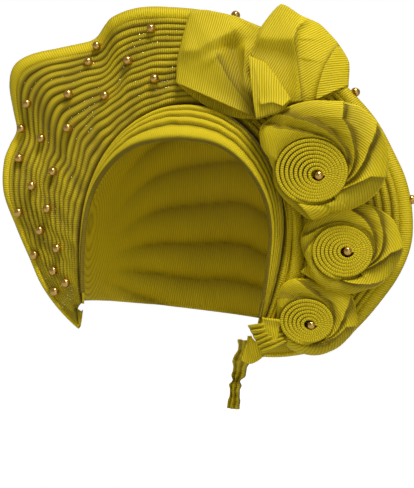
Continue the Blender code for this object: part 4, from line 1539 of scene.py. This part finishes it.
@dataclass
class Studio:
    """The pale round stage, the soft lights and the camera."""

    yaw: float = 12.0
    roll: float = 7.0
    distance: float = 1.0
    height: float = -0.1
    lens: float = 106.3
    shift: tuple = (0.02295, -0.0049)
    floor_z: float = -0.30
    stage_radius: float = 3.0
    wall_height: float = 3.2
    glow: float = 0.06
    seen_glow: float = 0.80
    sky: float = 0.30

    def camera(self) -> None:
        """Sets the camera at the photograph's angle."""
        a, roll = math.radians(self.yaw), math.radians(self.roll)
        forward = Vector((-math.sin(a), math.cos(a), 0.0))
        side = Vector((math.cos(a), math.sin(a), 0.0))
        right = side * math.cos(roll) + Vector((0, 0, math.sin(roll)))
        up = -side * math.sin(roll) + Vector((0, 0, math.cos(roll)))
        lens = bpy.data.cameras.new("camera")
        lens.lens = self.lens
        lens.shift_x, lens.shift_y = self.shift
        lens.clip_start = 0.02
        camera = add_object("camera", lens)
        place = Vector((0, 0, self.height)) - forward * self.distance
        turn = Matrix((right, up, -forward)).transposed().to_4x4()
        camera.matrix_world = Matrix.Translation(place) @ turn
        bpy.context.scene.camera = camera

    def stage(self) -> None:
        """Builds the pale floor that curves up into a wall all round."""
        curve = 0.9
        bend = np.linspace(0, np.pi / 2, 13)
        wall = self.stage_radius - curve + curve * np.sin(bend)
        radius = np.concatenate([[0.0, 0.8, 1.6], wall, [self.stage_radius]])
        rise = np.concatenate([[0.0, 0.0, 0.0], curve - curve * np.cos(bend), [self.wall_height]])
        turn = np.linspace(0, 2 * np.pi, 73)[:-1]
        vertices = [(0.0, 0.0, self.floor_z)]
        for r, z in zip(radius[1:], rise[1:]):
            vertices += [(r * math.cos(t), r * math.sin(t), self.floor_z + z) for t in turn]
        count = len(turn)
        faces = [(0, 1 + i, 1 + (i + 1) % count) for i in range(count)]
        for ring in range(len(radius) - 2):
            a = 1 + ring * count
            for i in range(count):
                j = (i + 1) % count
                faces.append((a + i, a + count + i, a + count + j, a + j))
        mesh = bpy.data.meshes.new("stage")
        mesh.from_pydata(vertices, [], faces)
        mesh.polygons.foreach_set("use_smooth", [True] * len(mesh.polygons))
        paint, board, shader = new_finish("stage_paint")
        seen = board.node("ShaderNodeLightPath").outputs["Is Camera Ray"]
        glow = board.maths("MULTIPLY_ADD", seen, self.seen_glow - self.glow, self.glow)
        board.feed(
            shader, Base_Color=(0.55, 0.55, 0.55, 1.0), Roughness=0.9, Emission_Color=(1.0, 1.0, 1.0, 1.0),
            Emission_Strength=glow,
        )
        mesh.materials.append(paint)
        add_object("stage", mesh)

    def light(self, name: str, place: tuple, aim: tuple, size: float, power: float) -> None:
        """Adds one soft square light.

        Args:
            name: its name.
            place: where it stands.
            aim: the point that it faces.
            size: its side.
            power: its power in watts.
        """
        lamp = bpy.data.lights.new(name, "AREA")
        lamp.shape = "SQUARE"
        lamp.size = size
        lamp.energy = power
        light = add_object(name, lamp)
        light.location = place
        light.rotation_euler = (Vector(aim) - Vector(place)).to_track_quat("-Z", "Y").to_euler()

    def build(self) -> None:
        """Sets the stage, the lights, the world and the camera."""
        self.stage()
        for row in LIGHTS:
            self.light(*row)
        world = bpy.data.worlds.new("world")
        world.use_nodes = True
        sky = world.node_tree.nodes["Background"].inputs
        Board(world.node_tree).feed(sky, Color=(1.0, 1.0, 1.0, 1.0), Strength=self.sky)
        bpy.context.scene.world = world
        bpy.context.scene.view_settings.view_transform = "Standard"
        self.camera()


# Rows for the loops and the rosettes


LEFT_RIM = ((-0.14, 0.02), (-0.16, 0.20), (-0.13, 0.515), (-0.02, 0.535), (0.18, 0.51), (0.36, 0.45))
RIGHT_RIM = ((0.34, 0.25), (0.38, 0.44), (0.48, 0.605), (0.62, 0.545), (0.75, 0.50), (0.88, 0.39),
             (0.97, 0.27), (0.99, 0.11))
FRONT_RIM = ((0.35, 0.225), (0.41, 0.205), (0.46, 0.19), (0.55, 0.10), (0.66, -0.03))


def bow_loops() -> list[BowLoop]:
    """The three loops of the bow."""
    left = BowLoop(
        "left_loop_cloth", ("left_bow_loop",), flat=(0.090, 0.085), rests_on=("pleated_fan",), rim=LEFT_RIM,
        base=((0.45, -0.165), (0.475, -0.125)), sag=0.07, fullness=1.1, taper=0.6,
        folds=(
            Fold(((0.259, 0.47), (0.20, 0.405), (0.08, 0.322), (-0.008, 0.242), (-0.16, 0.225)),
                 0.0042, 0.0070, 0.0080, 0.35, 0.0),
            Fold(((0.10, 0.325), (0.20, 0.277), (0.256, 0.154), (0.314, 0.016), (0.39, -0.10)),
                 -0.0066, 0.0080, 0.0110, 0.60, 0.75),
            Fold(((0.09, 0.26), (0.118, 0.213), (0.207, 0.086), (0.302, -0.017), (0.375, -0.09),
                  (0.443, -0.178)),
                 0.0040, 0.0080, 0.0110, 0.97, 0.0),
            Fold(((0.285, 0.36), (0.288, 0.285), (0.304, 0.127), (0.332, 0.034), (0.389, -0.072),
                  (0.455, -0.177)),
                 0.0044, 0.0040, 0.0034, 0.10, 0.80),
            Fold(((0.36, 0.24), (0.393, 0.117), (0.423, 0.008), (0.445, -0.101), (0.462, -0.178)),
                 -0.0030, 0.0036, 0.0036, 0.97, 0.97),
        ),
        painted_panel_light=((0.0, 0.78), (0.6, 0.76), (0.8, 0.92), (1.0, 0.80)),
        rib_angles=((0.0, 88.0), (0.74, 62.0)),
    )
    right = BowLoop(
        "right_loop_cloth", ("right_bow_loop",), flat=(0.085, 0.080), rests_on=("pleated_fan",),
        rim=RIGHT_RIM,
        base=((0.60, -0.065), (0.80, -0.015)), fullness=1.1, taper=0.2, slant=0.16,
        folds=(
            Fold(((0.665, 0.55), (0.658, 0.50), (0.622, 0.443), (0.616, 0.364), (0.641, 0.272),
                  (0.671, 0.156),
                  (0.701, 0.049), (0.719, -0.036)), 0.0032, 0.0020, 0.0090, 0.92, 0.0),
            Fold(((0.93, 0.43), (0.901, 0.385), (0.863, 0.311), (0.835, 0.222), (0.821, 0.142),
                  (0.809, 0.046),
                  (0.808, -0.009)), 0.0030, 0.0090, 0.0019, 0.0, 0.92),
            Fold(((0.30, 0.355), (0.356, 0.355), (0.491, 0.355), (0.60, 0.365)),
                 0.0034, 0.0100, 0.0060, 0.0, 0.0),
            Fold(((0.30, 0.28), (0.36, 0.28), (0.50, 0.26), (0.62, 0.25)),
                 -0.0022, 0.0060, 0.0120, 0.35, 0.50),
        ),
        painted_panel_light=((0.0, 0.80), (0.40, 0.84), (0.44, 1.0), (1.0, 0.95)),
        rib_angles=((0.0, 72.0), (0.43, 40.0), (0.71, 17.0)), rounding=0.6,
    )
    front = BowLoop(
        "front_loop_cloth", ("front_bow_loop",), flat=(0.032, 0.044), rests_on=("left_bow_loop",),
        rim=FRONT_RIM,
        base=((0.465, -0.190), (0.600, -0.125)), front=-0.64, fullness=0.6, slant=0.10,
        folds=(
            Fold(((0.47, -0.10), (0.498, -0.088), (0.559, -0.07), (0.64, -0.09)),
                 0.0022, 0.0030, 0.0018, 0.0, 0.97),
            Fold(((0.382, 0.206), (0.417, 0.115), (0.464, -0.006), (0.481, -0.082)),
                 0.0012, 0.0040, 0.0030, 0.0, 0.3),
        ),
        rib_angles=((0.0, 100.0),), painted_panel_light=((0.0, 0.80), (1.0, 0.86)), bulge=0.0008, across=70, along=80,
    )
    return [left, right, front]


def roses() -> list[Rosette]:
    """The three rosettes, from the lowest up."""
    low = Rosette(
        "rosette_3", (0.633, -0.413, -0.967), 10.0, -6.0, 0.66, 5.89, 0.75, 0.84, (0.0, 0.0), (-0.13, 0.11),
        ((-152.0, 0.67), (-127.0, 0.69), (-98.0, 0.65), (-49.0, 0.71), (-18.0, 0.82), (1.0, 0.94),
         (14.0, 0.99),
         (23.0, 0.99), (43.0, 1.05), (74.0, 0.88), (105.0, 0.97), (119.0, 1.05), (132.0, 1.04), (147.0, 0.91),
         (174.0, 0.72)),
        (Petal((60, 110, 124, 133, 138, 143, 150), 0.7), Petal((10, 22, 34, 60, 85, 102, 115), 1.1),
         Petal((-70, -60, -52, -34, 8, 27, 45), 0.9), Petal((-80, -75, -68, -55, -30, 2, 5), 0.7),
         Petal((-150, -148, -146, -143, -140, -137, -135), 0.4)),
        (0.068, 0.068), (0.010, 0.28),
    )
    middle = Rosette(
        "rosette_2", (0.747, -0.467, -0.627), 10.0, 1.0, 0.75, 6.88, 0.84, 0.88, (0.07, 0.0), (-0.06, -0.04),
        ((-170.0, 0.76), (-157.0, 0.72), (-129.0, 0.78), (-101.0, 0.79), (-55.0, 0.81), (-39.0, 0.90),
         (-17.0, 0.94), (6.0, 1.07), (21.0, 1.06), (39.0, 1.07), (51.0, 1.03), (84.0, 0.90), (109.0, 0.91),
         (135.0, 0.89), (157.0, 0.87), (173.0, 0.84)),
        (Petal((150, 158, 165, 172, 177, 184, 192), 0.6), Petal((2, 12, 40, 135, 153, 163, 170), 0.7),
         Petal((-8, 0, 7, 34, 56, 81, 112), 1.1), Petal((-22, -18, -13, -3, 16, 44, 66), 1.1),
         Petal((-44, -30, -25, -18, -8, 5, 10), 1.0), Petal((-105, -84, -81, -74, -65, -52, -27), 0.8)),
        (0.078, 0.078), (0.010, 0.35),
    )
    high = Rosette(
        "rosette_1", (0.600, -0.520, -0.313), 8.0, -3.0, 1.00, 7.88, 1.00, 0.90, (0.0, -0.10), (-0.20, 0.0),
        ((-177.0, 0.64), (-154.0, 0.63), (-118.0, 0.60), (-92.0, 0.67), (-66.0, 0.58), (-36.0, 0.71),
         (-20.0, 0.80), (-2.0, 0.90), (20.0, 0.97), (36.0, 1.02), (49.0, 1.04), (66.0, 1.05), (90.0, 0.98),
         (115.0, 0.99), (137.0, 1.00), (150.0, 1.02), (163.0, 0.88), (171.0, 0.73)),
        (Petal((30, 55, 94, 114, 127, 139, 147), 0.7), Petal((14, 25, 35, 73, 95, 119, 134), 1.1),
         Petal((-9, 0, 7, 22, 46, 71, 78), 1.1), Petal((-17, -12, -7, 1, 14, 32, 47), 1.1),
         Petal((-32, -26, -22, -15, -8, 1, 2), 0.6), Petal((-125, -122, -118, -112, -104, -98, -92), 0.4)),
        (0.100, 0.100), (0.010, 0.50),
    )
    return [low, middle, high]


def leaves() -> list[TuckedLeaf]:
    """The small leaves that show from under the two lower rosettes."""
    middle = TuckedLeaf(
        "rosette_2_leaf", (), flat=(0.014, 0.011), rests_on=("pleated_fan",), depth=-0.0540, shade=0.3,
        corners=((0.0822, -0.1111), (0.0940, -0.1165), (0.0990, -0.1080), (0.0886, -0.1030)),
    )
    low = TuckedLeaf(
        "rosette_3_leaf", (), flat=(0.014, 0.012), rests_on=("pleated_fan",), depth=-0.0600, shade=0.6,
        corners=((0.0630, -0.1535), (0.0735, -0.1585), (0.0745, -0.1430), (0.0620, -0.1431)),
    )
    return [middle, low]


def main() -> None:
    """Builds the studio and every piece of the head tie."""
    logging.basicConfig(level=logging.INFO, format="%(name)s: %(message)s")
    Studio().build()
    weave = ribbed_weave()
    # fold_contrast is how dark the painted shade in the folds goes; rib_contrast is how dark the painted
    # shade in the rib grooves goes.
    plain = RibbedCloth("panel_cloth", fold_contrast=0.80).material(weave)
    pleated = RibbedCloth("pleat_cloth", rib_pitch=0.0014, rib_contrast=0.34,
                          fold_contrast=0.92).material(weave)
    rolled = RibbedCloth("coil_cloth", rib_pitch=0.0014, rib_contrast=0.42,
                         fold_contrast=0.85).material(weave)
    gold = PolishedMetal("gold_bead", (0.80, 0.50, 0.14, 1.0), 0.16).material()
    sparkle = PolishedMetal("stone_glitter", (0.85, 0.78, 0.45, 1.0), 0.05).material()

    CrownCap("crown_folds", ("crown_cap",), flat=(0.28, 0.26), held=Held.DRAPED, rests_on=()).build(plain)
    BrowWrap("brow_pleats", ("brow_wrap",), flat=(0.26, 0.035), held=Held.FOLDED).build(pleated)
    fan = PleatedFan("fan_pleats", ("pleated_fan",), flat=(0.52, 0.13), held=Held.GATHERED)
    fan_piece = fan.build(pleated)
    SideDrape("drape_folds", ("side_drape",), flat=(0.13, 0.024), held=Held.DRAPED).build(plain)
    for loop in bow_loops():
        loop.build(plain)
    strip_tree = rolled_strip_tree()
    for rose in roses():
        rose.build(plain, rolled, gold, strip_tree)
    for leaf in leaves():
        leaf.build(plain)
    EarGather("gather_pleats", ("ear_gather",), flat=(0.024, 0.026), held=Held.GATHERED,
              rests_on=("pleated_fan",)).build(plain)
    SideFlap("flap_panel", ("side_flap",), flat=(0.018, 0.016), rests_on=("pleated_fan",)).build(plain)
    TieTail("scrunched_tail", ("tie_tail",), flat=(0.018, 0.068), held=Held.HUNG,
            rests_on=("pleated_fan",)).build(plain)
    FanBeads("fan_beads", tuple(f"bead_{i:02d}" for i in range(1, 26)), Slot.METAL).build(gold, fan_piece)
    GrooveStones("groove_stones", (), Slot.METAL).build(fan, sparkle)


if __name__ == "__main__":
    main()
